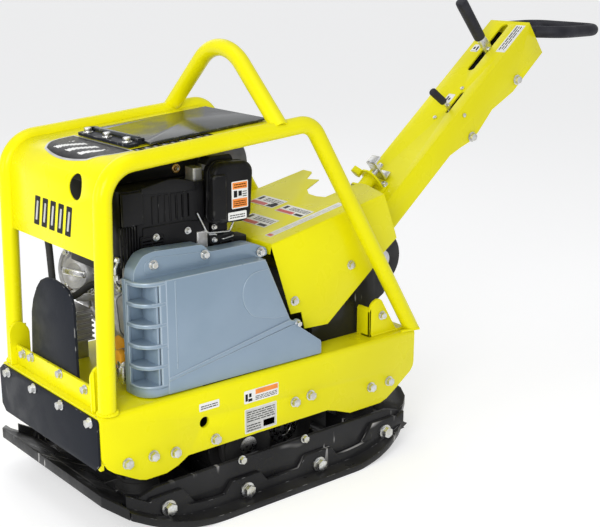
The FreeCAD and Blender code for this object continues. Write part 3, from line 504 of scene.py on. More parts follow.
def bolt(at, heading, across, height, washer, thread=0):
    # washer, spring washer and chamfered hexagon, standing on a face; a washer of 0 leaves both out
    part = bmesh.new()
    level = 0
    for r, thick, sides in ((washer, 1.6, 32), (washer * 0.72, 1.4, 28)):
        if r:
            add(part, barrel((0, 0, level), (0, 0, level + thick), r, sides=sides, soft=0.3))
            level += thick
    head = bmesh.new()
    corner = across / 1732  # metres from the middle to a corner, for a width across flats in mm
    ops.create_cone(head, cap_ends=True, segments=6, radius1=corner, radius2=corner, depth=height / 1000,
                    matrix=shift(0, 0, level + height / 2))
    top = [face for face in head.faces if face.normal.z > 0.9]
    ops.inset_individual(head, faces=top, thickness=across / 11000, depth=across / 22000)
    softEdges(head, across / 36000, 2, 20)
    add(part, head)
    level += height
    if thread:
        stub = lathe((0, 0, level - 1), (0, 0, 1), [(0, 0)] + [
            (across * (0.30 if k % 2 else 0.27), 0.6 * k) for k in range(int(thread / 0.6))]
            + [(across * 0.22, thread + 0.6), (0, thread + 0.6)], 20)
        add(part, stub)
    ops.transform(part, matrix=turnTo(mm(*at), heading), verts=part.verts)
    return part


def weldRing(at, heading, r, bead=3.2, lumps=44):
    # a welder's ripple round a tube's foot
    part = bmesh.new()
    ops.create_circle(part, cap_ends=False, segments=8, radius=bead / 1000,
                      matrix=shift(r, 0, 0) @ Matrix.Rotation(math.pi / 2, 4, "X"))
    ops.spin(part, geom=part.verts[:] + part.edges[:], cent=(0, 0, 0), axis=(0, 0, 1), dvec=(0, 0, 0),
             angle=math.tau, steps=lumps * 2, use_merge=True)
    ops.remove_doubles(part, verts=part.verts, dist=0.000001)
    for vert in part.verts:
        turn = math.atan2(vert.co.y, vert.co.x)
        ripple = 1 + 0.16 * math.cos(turn * lumps)
        middle = Vector((math.cos(turn), math.sin(turn), 0)) * r / 1000
        vert.co = middle + (vert.co - middle) * ripple
    faceOut(part)
    ops.transform(part, matrix=turnTo(mm(*at), heading), verts=part.verts)
    return part


def weldRun(start, end, bead=3.0):
    # a straight rippled bead
    start, end = mm(*start), mm(*end)
    length = (end - start).length
    rings = max(6, int(length / 0.0035))
    part = bmesh.new()
    ops.create_circle(part, cap_ends=False, segments=8, radius=bead / 1000, matrix=turnTo(start, end - start))
    ring = part.verts[:]
    for index in range(rings):
        grown = ops.extrude_edge_only(part, edges=ringEdges(ring))["geom"]
        ring = vertsIn(grown)
        ops.translate(part, verts=ring, vec=(end - start) / rings)
        middle = start + (end - start) * (index + 1) / rings
        size = 0.86 if index % 2 else 1.16
        for vert in ring:
            vert.co = middle + (vert.co - middle) * size
    ops.holes_fill(part, edges=[edge for edge in part.edges if edge.is_boundary], sides=0)
    faceOut(part)
    return part


def label(corner, right, up, size, patches, thick=0.35, sheetFinish=0):
    # a thin sticker: white sheet with coloured patches; places in mm on its own sheet
    part = bmesh.new()
    wide, high = size
    sheet = panel([(0, 0), (wide, 0), (wide, high), (0, high)], 0, thick, "z", 2.0, soft=0)
    add(part, sheet, sheetFinish)
    for x0, y0, x1, y1, finish in patches:
        patch = block((x0, y0, thick * 0.5), (x1, y1, thick + 0.12), soft=0)
        add(part, patch, finish)
    right, up = Vector(right).normalized(), Vector(up).normalized()
    out = right.cross(up)
    turn = Matrix((right, up, out)).transposed().to_4x4()
    ops.transform(part, matrix=shift(*corner) @ turn, verts=part.verts)
    return part


def lines(x0, x1, y0, y1, count, finish, seed):
    # rows of short bars, as fine print looks from a distance, without letters
    rows = []
    pitch = (y1 - y0) / count
    for row in range(count):
        x, step = x0, 0
        while x < x1:
            step += 1
            run = (3 + (row * 7 + step * 5 + seed * 3) % 6) * (x1 - x0) / 34
            rows.append((x, y0 + pitch * row, min(x + run, x1), y0 + pitch * (row + 0.45), finish))
            x += run + (x1 - x0) / 34
    return rows


frameValues = {"deckZ": 256.5, "sideY": 194, "tubeY": 180, "railZ": 729.2, "railSlope": 0.071}
refinedNodes = {  # node: edge radius in mm
    "base_plate": 1.6, "side_shoe_left": 1.6, "side_shoe_right": 1.6, "exciter_housing": 2.0,
    "exciter_covers": 1.0, "chassis_frame": 1.2, "crossmembers": 0.8, "front_panel": 0.8, "front_cowl": 0.7,
    "top_flap": 1.0, "front_guard": 1.2, "crankcase": 2.0, "rocker_cover": 2.0,
    "fuel_tank": 2.0, "engine_shroud": 1.2, "regulator": 0.8, "battery": 1.5, "handle_bracket": 1.2,
    "lock_quadrant": 0.8,
    "handle_arm": 1.2, "pivot_tube": 0.8, "muffler": 1.0, "shoe_bolts": 0.5,
    "chassis_bolts": 0.4, "hood_bolts": 0.4, "arm_bolts": 0.4,
}
for name, width in refinedNodes.items():
    refined(name, width / 1000)
print("frame pieces finished:", len(refinedNodes))

# belt cover

coverValues = {
    "faceY": -179, "backY": -113, "low": 259, "top": 482, "cornerX": -262, "noseX": -300, "cornerRadius": 38,
    "shelves": (281, 321, 362, 402, 442), "shelfThick": 8, "skin": 4.5, "pocketY": -125,
}


def makeBeltCover():
    v = coverValues
    bm = bmesh.new()
    low, top, face, back = v["low"], v["top"], v["faceY"], v["backY"]
    # main shell beside the pockets
    side = [(-246, low), (123, low), (123, 287), (72, 325), (46, 348), (-15, top), (-246, top)]
    add(bm, panel(side, face, face + v["skin"], rounds=(0, 4, 5, 0, 0, 6), soft=1.8, segments=3))
    rim = [(-15, top, 46, 348), (46, 348, 72, 325), (72, 325, 123, 287)]
    for x0, z0, x1, z1 in rim:
        run = [(x0, z0), (x1, z1), (x1 - 4, z1 - 3.4), (x0 - 4, z0 - 3.4)]
        add(bm, panel(run, face + 1.2, back, soft=0.8))
    add(bm, block((119, face + 1.5, low), (123, back, 285)))
    add(bm, block((v["cornerX"], face + 1.5, top - 4), (-16, back, top - 0.4), soft=1.2))
    # lower skirt under the long diagonal crease, standing further out towards the rear
    skirt = [(-246, low), (123, low), (123, 287), (72, 325), (58, 336), (42, 335), (-246, 285)]
    step = panel(skirt, face - 0.5, face + 2, rounds=(0, 3, 4), soft=1.3, segments=3)
    for vert in step.verts:
        if vert.co.y < face / 1000:
            vert.co.y -= 0.0065 * (vert.co.x + 0.246) / 0.37
    add(bm, step)
    ridge = panel([(-246, 285), (42, 335), (64, 333), (66, 340), (40, 347), (-246, 292)], face - 1.4,
                  face + 2, soft=2.0, segments=3)
    for vert in ridge.verts:
        if vert.co.y < face / 1000:
            vert.co.y -= 0.0032 * (vert.co.x + 0.246) / 0.37
    add(bm, ridge)
    # fold line beside the pockets
    add(bm, panel([(-227, 306), (-224, 306), (-224, 478), (-227, 478)], face - 0.7, face + 1, soft=0.9,
                  segments=3))
    # swelling over the clutch
    bulge = [(6, 357), (38, 357), (-10, 462), (-40, 462), (-58, 455), (-70, 440), (-74, 418), (-68, 396),
             (-50, 372)]
    add(bm, panel(bulge, face - 1.3, face + 2, rounds=(0, 2, 4, 10, 10, 10, 10, 10, 12), soft=3.2,
                  segments=4, angle=40))
    # corner pockets: two inner walls, one shelf between each, a cap and a foot
    nose, corner, r = v["noseX"], v["cornerX"], v["cornerRadius"]
    add(bm, block((nose, v["pocketY"], low), (corner, back, top), soft=1.5, segments=3))
    add(bm, panel([(-266, face + 3), (corner, face + 3), (corner, v["pocketY"]), (-266, v["pocketY"])], low,
                  top - 3, "z", soft=0.8))
    add(bm, panel([(-260, face + 0.4), (-244, face + 0.4), (-244, face + 6), (-252, face + 10),
                   (-260, face + 8)], low + 0.2, top - 0.2, "z", soft=3.2, segments=4))
    add(bm, block((nose, -130, low), (nose + 7, v["pocketY"], top), soft=1.5, segments=3))
    flat = [(nose, v["pocketY"] + 1), (nose, face), (-246, face), (-246, v["pocketY"] + 1)]
    for z in v["shelves"]:
        add(bm, panel(flat, z - v["shelfThick"], z, "z", (0, r), soft=2.0, segments=3))
    add(bm, panel(flat, low, v["shelves"][0] - 3, "z", (0, r), soft=2.0, segments=3))
    add(bm, panel(flat, top - 9, top, "z", (0, r), soft=3.0, segments=4))
    # raised flange above, cut away round the air cleaner
    flange = [(-294, top - 8), (-13, top - 8), (14, top - 2), (12, 494), (-21, 509), (-124, 509),
              (-140, 526), (-258, 531), (-278, 523), (-294, 498)]
    rounds = (0, 0, 4, 6, 10, 6, 8, 14, 22, 14)
    add(bm, panel(flange, -146, back, rounds=rounds, soft=3.0, segments=4, angle=40))
    add(bm, barrel((62, face - 4, 336), (62, face + 4, 336), 8.5, soft=1.2))
    field = [(-270, top + 6), (-128, top + 5), (-124, 500), (-142, 512), (-254, 520), (-272, 510)]
    add(bm, panel(field, -147.2, -143, rounds=(0, 0, 0, 6, 14, 10), soft=1.2, segments=3))
    return bm


def makeCoverScrews():
    bm = bmesh.new()
    for x, y, z, size in ((-282, -126, 270, (9, 5, 8)), (-268, -126, 270, (9, 5, 8)),
                          (62, -183, 336, (10, 5, 7)), (-252, -147, 506, (12, 6, 9.5)),
                          (-137, -147, 506, (12, 6, 9.5)), (-4, -147, 489, (12, 6, 9.5))):
        add(bm, bolt((x, y, z), (0, -1, 0), *size))
    return bm


addPiece("belt_cover_cast", makeBeltCover(), "cover_alloy", "chassis", ("belt_cover",), sharp=38)
addPiece("belt_cover_screws", makeCoverScrews(), "zinc", "chassis", ("belt_cover_bolts",))
print("belt cover made")

# flap bar

barValues = {"x": (-262, -236), "halfWidth": 92, "thick": 6, "bolts": (-71, 0, 71), "boltX": -250}


def railZ(x):
    return frameValues["railZ"] + frameValues["railSlope"] * x


def makeFlapBar():
    v = barValues
    bm = bmesh.new()
    w = v["halfWidth"]
    bar = panel([(v["x"][0], -w), (v["x"][1], -w), (v["x"][1], w), (v["x"][0], w)], 0, v["thick"], "z", 4,
                soft=0.9)
    tilt = shift(0, 0, railZ(0) + 4) @ Matrix.Rotation(-math.atan(frameValues["railSlope"]), 4, "Y")
    add(bm, bar, 0, tilt)
    for y in (-87, 87):
        add(bm, block((-240, y - 3, railZ(-236) + 5), (-224, y + 3, railZ(-228) + 16), soft=0.7), 0)
    add(bm, barrel((-228, -90, railZ(-228) + 12), (-228, 90, railZ(-228) + 12), 2.5, sides=20, soft=0.4), 1)
    for y in v["bolts"]:
        head = bolt((v["boltX"], y, 0), (0, 0, 1), 13, 6, 9.5)
        add(bm, head, 1, tilt @ shift(0, 0, v["thick"]))
    return bm


addPiece("flap_bar", makeFlapBar(), "black_panel", "chassis", ("flap_hinge_bar",), extra=("zinc",))

# rear leg brackets, front upstand and gussets, with the welds of the cage


def makeBrackets():
    bm = bmesh.new()
    deck, tubeY = frameValues["deckZ"], frameValues["tubeY"]
    for sign in (-1, 1):
        # rear bracket: a side plate, a fold across its front edge, and a foot on the deck
        y = 172 * sign
        plate = panel([(270, deck), (270, 318), (276, 332), (292, 340), (304, 336), (352, deck)],
                      min(y, y - 6 * sign), max(y, y - 6 * sign), rounds=(0, 5, 5, 5, 5), soft=0.9)
        add(bm, plate)
        fold = panel([(270, deck), (275, deck), (275, 322), (270, 316)], min(y, y - 40 * sign),
                     max(y, y - 40 * sign), soft=0.9)
        add(bm, fold)
        foot = panel([(270, 0), (352, 0), (352, 34), (270, 34)], 0, 5, "z", (0, 0, 8, 8), soft=0.9)
        add(bm, foot, 0, shift(0, y - 40 * (sign > 0), deck))
        gusset = [(-402, deck), (-402, deck + 72), (-390, deck + 87), (-372, deck + 88), (-358, deck + 68),
                  (-358, deck)]
        inner = 163.2 * sign
        add(bm, panel(gusset, min(inner, inner - 6 * sign), max(inner, inner - 6 * sign),
                      rounds=(0, 7, 6, 10, 7), soft=1.1, segments=3))
        for x in (-397, -364):
            add(bm, weldRun((x, 164 * sign, deck + 4), (x, 164 * sign, deck + 80), 2.2))
        add(bm, weldRing((-381 + 0.8, tubeY * sign, deck + 2), (0, 0, 1), 17.2))
        add(bm, weldRun((276, y - 1 * sign, deck + 2), (350, y - 1 * sign, deck + 2), 2.4))
        add(bm, weldRun((352 - 2, tubeY * sign - 8, deck + 1), (396, tubeY * sign - 17, deck + 1), 2.8))
        add(bm, weldRun((352 - 2, tubeY * sign + 8, deck + 1), (396, tubeY * sign + 13, deck + 1), 2.8))
    add(bm, panel([(-157, deck), (157, deck), (157, deck + 42), (-157, deck + 42)], -390, -384, "x",
                  (0, 0, 5, 5)))
    return bm


addPiece("frame_brackets", makeBrackets(), "yellow_paint", "chassis", ("leg_brackets",))
bracketBolts = bmesh.new()
for sign in (-1, 1):
    add(bracketBolts, bolt((306, 172 * sign, 300), (0, sign, 0), 13, 6, 10))
addPiece("bracket_bolts", bracketBolts, "zinc", "chassis")
print("brackets made")

# rear hood

hoodValues = {"half": 150, "thick": 2.5, "fold": 4.0, "frontX": 21, "frontZ": 499, "slope": 0.198}


def hoodTop(x):
    return hoodValues["frontZ"] + hoodValues["slope"] * (x - hoodValues["frontX"])


def makeHood():
    v = hoodValues
    half = v["half"]
    bm = bmesh.new()
    top = [(21, -half), (326, -half), (350, -67), (350, -52), (338, -42), (254, -42), (248, -20), (250, 8),
           (268, 36), (322, 58), (312, 90), (346, 112), (350, 118), (350, half), (21, half)]
    verts = [bm.verts.new(mm(x, y, hoodTop(x))) for x, y in top]
    faceOn(bm, verts)
    side = [(71, 345), (99, 344), (108, 306), (171, 303), (294, 399), (324, 428), (366, 458), (359, 477)]
    near = [bm.verts.new(mm(x, -half, z)) for x, z in side]
    faceOn(bm, [verts[0], *near, verts[1]])
    far = [bm.verts.new(mm(x, half, z)) for x, z in side]
    faceOn(bm, [verts[-1], *far, verts[-2]])
    lip = [bm.verts.new(mm(21, y, 478)) for y in (-half + 6, half - 6)]
    faceOn(bm, [verts[0], lip[0], lip[1], verts[-1]])
    faceOut(bm)
    folds = [edge for edge in bm.edges if len(edge.link_faces) == 2]
    ops.bevel(bm, geom=folds, offset=v["fold"] / 1000, offset_type="OFFSET", affect="EDGES", segments=5,
              profile=0.5, material=-1)
    middle = mm(150, 0, 400)
    if sum((face.calc_center_median() - middle).dot(face.normal) for face in bm.faces) < 0:
        ops.reverse_faces(bm, faces=bm.faces)
    ops.solidify(bm, geom=bm.faces[:], thickness=v["thick"] / 1000)
    softEdges(bm, 0.0006, 2, 50)
    return bm


addPiece("rear_hood_sheet", makeHood(), "yellow_paint", "chassis", ("rear_hood",), sharp=40)


def makeHoodLabels():
    v = hoodValues
    bm = bmesh.new()
    run = Vector((1, 0, v["slope"])).normalized()
    for x, y, wide, high, seed in ((152, 97, 84, 44, 1), (72, 30, 92, 42, 2), (146, -2, 88, 38, 3)):
        patches = [(2, 2, wide * 0.62, high * 0.34, 1)]
        patches += lines(wide * 0.3, wide - 4, high * 0.5, high - 4, 3, 2, seed)
        patches += [(5, high * 0.5, 15, high - 5, 2), (wide * 0.68, 3, wide * 0.95, high * 0.3, 2)]
        add(bm, label((x, y, hoodTop(x) + 0.1), (0, -1, 0), run, (wide, high), patches), None)
    strip = [(3, 3, 12, 17, 1)] + lines(18, 196, 4, 17, 2, 3, 4)
    add(bm, label((46, -116, hoodTop(46) + 0.1), run, (0, 1, 0), (202, 20), strip), None)
    add(bm, lathe((166, 25, hoodTop(166)), (-v["slope"], 0, 1),
                  [(0, 0.1), (9, 0.1), (9, 1.2), (7.4, 1.6), (6.4, 0.9), (0, 0.9)], 32), 2)
    return bm


addPiece("hood_labels", makeHoodLabels(), "label_white", "chassis",
         extra=("label_red", "label_black", "label_silver"))
print("hood made")

# handle: latch, levers and grips, in the arm's own directions (along, across, up)

armValues = {"pivot": (335, 0, 411), "angle": 39.4, "topN": 24}
armPlace = (shift(*armValues["pivot"]) @ Matrix.Rotation(-math.radians(armValues["angle"]), 4, "Y"))


def onArm(bm):
    ops.transform(bm, matrix=armPlace, verts=bm.verts)
    return bm


def makeLatchBracket():
    top = armValues["topN"]
    bm = bmesh.new()
    base = [(112, -30), (182, -30), (182, -12), (176, 26), (112, 26)]
    add(bm, panel(base, top, top + 4, "z", (4, 8, 3, 0, 4), soft=0.9))
    ear = [(-24, top + 3), (24, top + 3), (24, 62), (13, 82), (-13, 82), (-24, 62)]
    for s in (120, 160):
        add(bm, panel(ear, s, s + 5, "x", (0, 0, 8, 8, 8, 8), soft=0.9))
    add(bm, barrel((125, 0, 56), (160, 0, 56), 15, soft=0.8))
    for s, way in ((125, 1), (160, -1)):
        add(bm, weldRing((s, 0, 56), (1, 0, 0), 15.2, 2.2, 30))
        add(bm, weldRun((s, -22, top + 5), (s, 22, top + 5), 2.2))
    add(bm, panel([(14, 78), (30, 90), (36, 86), (30, 70), (20, 66)], 150, 165, "x", (0, 3, 3), soft=1.0))
    add(bm, bolt((172, -21, top + 4), (0, 0, 1), 10, 5, 8), 1)
    add(bm, bolt((140, -23, top + 4), (0, 0, 1), 10, 5, 0), 1)
    return onArm(bm)


def makeLatchPin():
    bm = bmesh.new()
    add(bm, lathe((87.6, 0, 56), (1, 0, 0), [(0, 0), (4.6, 0), (6, 2), (6, 118), (0, 118)], 32))
    add(bm, bolt((97, 0, 56), (1, 0, 0), 20, 11, 0))
    add(bm, barrel((106.5, 0, 56), (109, 0, 56), 12.5, sides=36, soft=0.5))
    clip = [(31, -16), (31, 16), (84, 16), (84, -16)]
    add(bm, panel([(b, a) for a, b in clip], 184, 188, "x", 3, soft=0.8))
    for n0, n1 in ((30, 34), (80, 84)):
        add(bm, panel([(184, -15), (207, -15), (207, 15), (184, 15)], n0, n1, "z", (0, 4, 4), soft=0.8))
    add(bm, bolt((188, 0, 56), (1, 0, 0), 12, 6, 9, 6))
    return onArm(bm)


def gripShape(at, heading, r, length, rootR):
    # moulded grip with a rounded end, a collar at its root and fine rings
    profile = [(rootR, 0), (r * 0.86, 0), (r * 0.94, length * 0.012), (r * 0.95, length * 0.03)]
    for k in range(14):
        h = length * (0.05 + 0.062 * k)
        profile += [(r * (0.955 + 0.003 * k), h), (r * (0.972 + 0.003 * k), h + length * 0.012),
                    (r * (0.972 + 0.003 * k), h + length * 0.05),
                    (r * (0.955 + 0.003 * k), h + length * 0.06)]
    profile += [(r, length * 0.93), (r * 0.98, length * 0.97), (r * 0.9, length * 0.992), (r * 0.7, length),
                (0, length)]
    return lathe(at, heading, profile, 44)


def makeDirectionLever():
    bm = bmesh.new()
    add(bm, barrel((606, -9, -56), (606, 17, -56), 15, soft=0.8))
    blade = [(594, -56), (618, -56), (625, 20), (623, 58), (611, 58), (609, 20)]
    add(bm, panel(blade, 0, 8, rounds=(0, 0, 4, 3, 3, 4), soft=0.9))
    tab = [(604, 2), (604, 34), (608, 62), (626, 62), (630, 34), (630, 2)]
    add(bm, panel(tab, -5, -1, rounds=(0, 4, 5, 5, 4), soft=0.9))
    add(bm, lathe((617, 4, 36), (0, 0, 1),
                  [(0, 0), (9, 0), (9.5, 4), (9, 16), (7.5, 27), (6, 30), (6, 54), (0, 54)], 32))
    add(bm, bolt((617, -5, 26), (0, -1, 0), 10, 5, 0))
    return onArm(bm)


def makeThrottleLever():
    bm = bmesh.new()
    add(bm, barrel((414, -34, -55), (414, -20, -55), 11, soft=0.7))
    blade = [(407, -55), (422, -55), (425, 24), (422, 52), (415, 52), (416, 24)]
    add(bm, panel(blade, -29, -25, rounds=(0, 0, 3, 2, 2), soft=0.7))
    add(bm, barrel((418.5, -27, 46), (410, -27, 76), 3, sides=20, soft=0.3))
    add(bm, bolt((421, -29, 36), (0, -1, 0), 7, 3, 4))
    return onArm(bm)


addPiece("latch_bracket_welded", makeLatchBracket(), "yellow_paint", "handle", ("latch_bracket",),
         extra=("zinc",))
addPiece("latch_pin_with_clip", makeLatchPin(), "zinc", "latch", ("latch_pin",))
addPiece("direction_lever_stalk", makeDirectionLever(), "zinc", "direction", ("direction_lever",))
addPiece("direction_grip_moulded", onArm(gripShape((617, 4, 60), (0, 0, 1), 14, 114, 6.2)), "grip_rubber",
         "direction", ("direction_grip",), sharp=50)
addPiece("throttle_lever_stalk", makeThrottleLever(), "zinc", "throttle", ("throttle_lever",))
tilt = Vector((-13, 0, 47)).normalized()
addPiece("throttle_grip_moulded", onArm(gripShape((417, -27, 50.5), tilt, 9, 47.5, 3.2)), "grip_rubber",
         "throttle", ("throttle_grip",), sharp=50)


def makeArmDetails():
    # slot trims, labels, and the bolts inside the slot
    top = armValues["topN"]
    bm = bmesh.new()
    frameRight, frameUp = Vector((-1, 0, 0)), Vector((0, -1, 0))
    wide = lines(4, 84, 5, 24, 3, 2, 2) + [(3, 3, 88, 4.2, 3), (3, 24.6, 88, 25.8, 3)]
    add(bm, label((704, -29, top + 0.1), frameRight, frameUp, (91, 28), wide), None)
    small = [(4, 8, 9, 16, 2), (13, 6, 18, 18, 2), (2, 2, 22, 3, 2)]
    add(bm, label((606, 47, top + 0.1), (0, -1, 0), (1, 0, 0), (22, 24), small), None)
    add(bm, label((436, 8, top + 0.1), (0, -1, 0), (1, 0, 0), (21, 30),
                  [(4, 6, 8, 22, 2), (11, 10, 15, 18, 2)]), None)
    add(bm, block((548, -12, -6), (600, 22, -2), soft=0.6), 4)
    for s, n in ((560, -2), (578, -2)):
        add(bm, bolt((s, 4, n), (0, 0, 1), 12, 7, 8), 4)
    for low, high, soft in (((546, 14, -24), (604, 44, 14), 3), ((546, -44, -24), (700, -14, 10), 3),
                            ((606, 24, -24), (700, 44, 4), 3), ((404, -50, -20), (484, -38, 12), 2),
                            ((404, -16, -20), (484, -6, 12), 2)):
        add(bm, block(low, high, soft, segments=soft), 2)
    add(bm, bolt((559, 6, -2), (0, 0, 1), 14, 9, 9), 4)
    add(bm, bolt((577, 9, -2), (0, 0, 1), 12, 8, 8), 4)
    return onArm(bm)


addPiece("arm_labels_and_screws", makeArmDetails(), "label_white", "handle",
         extra=("label_orange", "label_black", "label_silver", "zinc"))
print("handle made")

# cowl stickers, wrapped round the cowl's bend

cowlValues = {"foot": (-375.2, 535), "corner": (-370.5, 705), "rear": (60, 735.5), "bend": 62}


def cowlPoint(along, across, lift):
    foot, corner, rear = (Vector(cowlValues[key]) for key in ("foot", "corner", "rear"))
    up, back, r = (corner - foot).normalized(), (rear - corner).normalized(), cowlValues["bend"]
    turn = up.angle(back)
    start = corner - up * r * math.tan(turn / 2)
    inward = Vector((up.y, -up.x))
    if along < 0:
        spot, out = start + up * along, -inward
    elif along < r * turn:
        out = Matrix.Rotation(-along / r, 2) @ -inward
        spot = start + inward * r + out * r
    else:
        spot = start + inward * r + Matrix.Rotation(-turn, 2) @ -inward * r + back * (along - r * turn)
        out = Matrix.Rotation(-turn, 2) @ -inward
    spot = spot + out * lift
    return mm(spot.x, across, spot.y)


def wrapOnCowl(part, finish, bm):
    for vert in part.verts:
        vert.co = cowlPoint(*[value * 1000 for value in vert.co])
    faceOut(part)
    add(bm, part, finish)


def makeCowlStickers():
    bm = bmesh.new()
    for k in range(5):  # slanted bars on the front
        y = 72 - 30 * k
        bar = [(-87, y), (-87, y - 20), (-31, y - 30), (-31, y - 10)]
        wrapOnCowl(panel(bar, 0.05, 0.4, "z", 2, soft=0), 0, bm)
        core = [(-78, y - 7.5), (-78, y - 14), (-40, y - 22.5), (-40, y - 16)]
        wrapOnCowl(panel(core, 0.35, 0.6, "z", 2, soft=0), 1, bm)
    shape = bmesh.new()
    ops.create_grid(shape, x_segments=40, y_segments=44, size=0.5)
    for vert in shape.verts:
        x, y = vert.co.x + 0.5, vert.co.y * 2
        wide = 108 - 30 * (1 - x) ** 3
        vert.co = mm(50 + 94 * x + 12 * y * y * (1 - x), -4 + wide * y, 0.1)
    border = shape.copy()
    ops.solidify(shape, geom=shape.faces[:], thickness=-0.0003)
    wrapOnCowl(shape, 1, bm)
    for k in range(9):
        edge = 128 - 3 * (k % 2)
        run = [(146 + 19 * k, -100), (146 + 19 * k, -edge), (163 + 19 * k, -edge), (163 + 19 * k, -100)]
        wrapOnCowl(panel(run, 0.1, 0.5, "z", soft=0), 0, bm)
        mark = [(148 + 19 * k, -111), (148 + 19 * k, -119), (154 + 19 * k + 3 * (k % 2), -119),
                (152 + 19 * k, -111)]
        wrapOnCowl(panel(mark, 0.4, 0.7, "z", soft=0), 1, bm)
    for vert in border.verts:
        vert.co = Vector((0.097 + (vert.co.x - 0.097) * 0.90, -0.004 + (vert.co.y + 0.004) * 0.95, 0.0005))
    for face in border.faces:
        centre = face.calc_center_median() * 1000
        stripe = ((centre.y + centre.x * 0.7) % 44) / 44
        face.material_index = 2 if 72 < centre.x < 118 and stripe < 0.42 and -66 < centre.y < 58 else 0
    ops.solidify(border, geom=border.faces[:], thickness=-0.0003)
    wrapOnCowl(border, None, bm)
    return bm


addPiece("cowl_stickers", makeCowlStickers(), "label_black", "chassis",
         extra=("label_silver", "label_white"))


def makeChassisLabels():
    bm = bmesh.new()
    right, up, y = (1, 0, 0), (0, 0, 1), -frameValues["sideY"] - 0.1
    add(bm, label((-190, y, 213), right, up, (47, 16), lines(4, 43, 4, 13, 2, 2, 3)), None)
    caution = [(28, 15, 84, 25, 1), (3, 5, 9, 20, 2), (10, 3, 20, 9, 2), (12, 12, 18, 20, 2)]
    add(bm, label((-83, y, 201), right, up, (86, 27), caution + lines(28, 82, 3, 13, 3, 2, 5)), None)
    plate = [(1.5, 1.5, 78.5, 50.5, 3)] + lines(5, 75, 24, 48, 5, 2, 2) + lines(5, 40, 4, 20, 3, 2, 6)
    plate += [(46, 5, 74, 19, 2), (47, 6, 73, 18, 3)]
    add(bm, label((-82, y, 137), right, up, (80, 52), plate, thick=0.5), None)
    return bm


addPiece("chassis_labels", makeChassisLabels(), "label_white", "chassis",
         extra=("label_orange", "label_black", "label_silver"))
print("stickers made")

# engine

cleanerValues = {"x": (-106, -6), "z": (551, 673), "face": -134, "back": -80}


def makeAirCleaner():
    v = cleanerValues
    (x0, x1), (z0, z1), face, back = v["x"], v["z"], v["face"], v["back"]
    bm = bmesh.new()
    outline = [(x0, z0 + 4), (x1 - 8, z0), (x1, z1 - 4), (x0 + 6, z1)]
    add(bm, panel(outline, face, -109, rounds=(16, 20, 24, 24), soft=9, segments=6, angle=40))
    inner = [(x0 + 10, z0 + 6), (x1 - 6, z0 + 6), (x1 - 2, z1 - 8), (x0 + 16, z1 - 6)]
    add(bm, panel(inner, -112, back, rounds=18, soft=5, segments=4, angle=40))
    rib = [(x0 - 1, z0 + 14), (x0 + 31, z0 + 8), (x0 + 31, z1 - 22), (x0 - 1, z1 - 22)]
    add(bm, panel(rib, face - 4, face + 8, rounds=(5, 5, 6, 8), soft=3.5, segments=4, angle=40))
    seam = [(x0 - 1, z0 + 3), (x1 - 7, z0 - 1), (x1 + 1, z1 - 4), (x0 + 5, z1 + 1)]
    add(bm, panel(seam, -112, -108, rounds=(16, 20, 24, 24), soft=1.3, segments=3, angle=40))
    add(bm, barrel((-62, -82, 590), (-62, -70, 590), 18, soft=1))
    add(bm, panel([(-96, 664), (-30, 664), (-36, 680), (-88, 680)], -100, -70, rounds=(0, 0, 6, 6), soft=2.5,
                  segments=3))
    warn = [(2, 38, 37, 51, 1), (2, 2, 37, 19, 1), (5, 22, 13, 35, 3), (16, 24, 24, 34, 3)]
    marks = lines(6, 34, 41, 50, 2, 3, 2) + lines(5, 35, 5, 17, 3, 3, 4) + lines(26, 36, 22, 35, 3, 3, 1)
    add(bm, label((-62, face - 0.1, 580), (1, 0, 0), (0, 0, 1), (39, 53), warn + marks, sheetFinish=2), None)
    add(bm, label((-71, face - 0.1, 558), (1, 0, 0), (0, 0, 1), (44, 16), lines(4, 40, 4, 13, 2, 3, 3),
                  sheetFinish=2), None)
    return bm


shroudValues = {"faceY": -106, "vents": (-216, 14, 5), "ribs": (-296, 6.0, 7)}


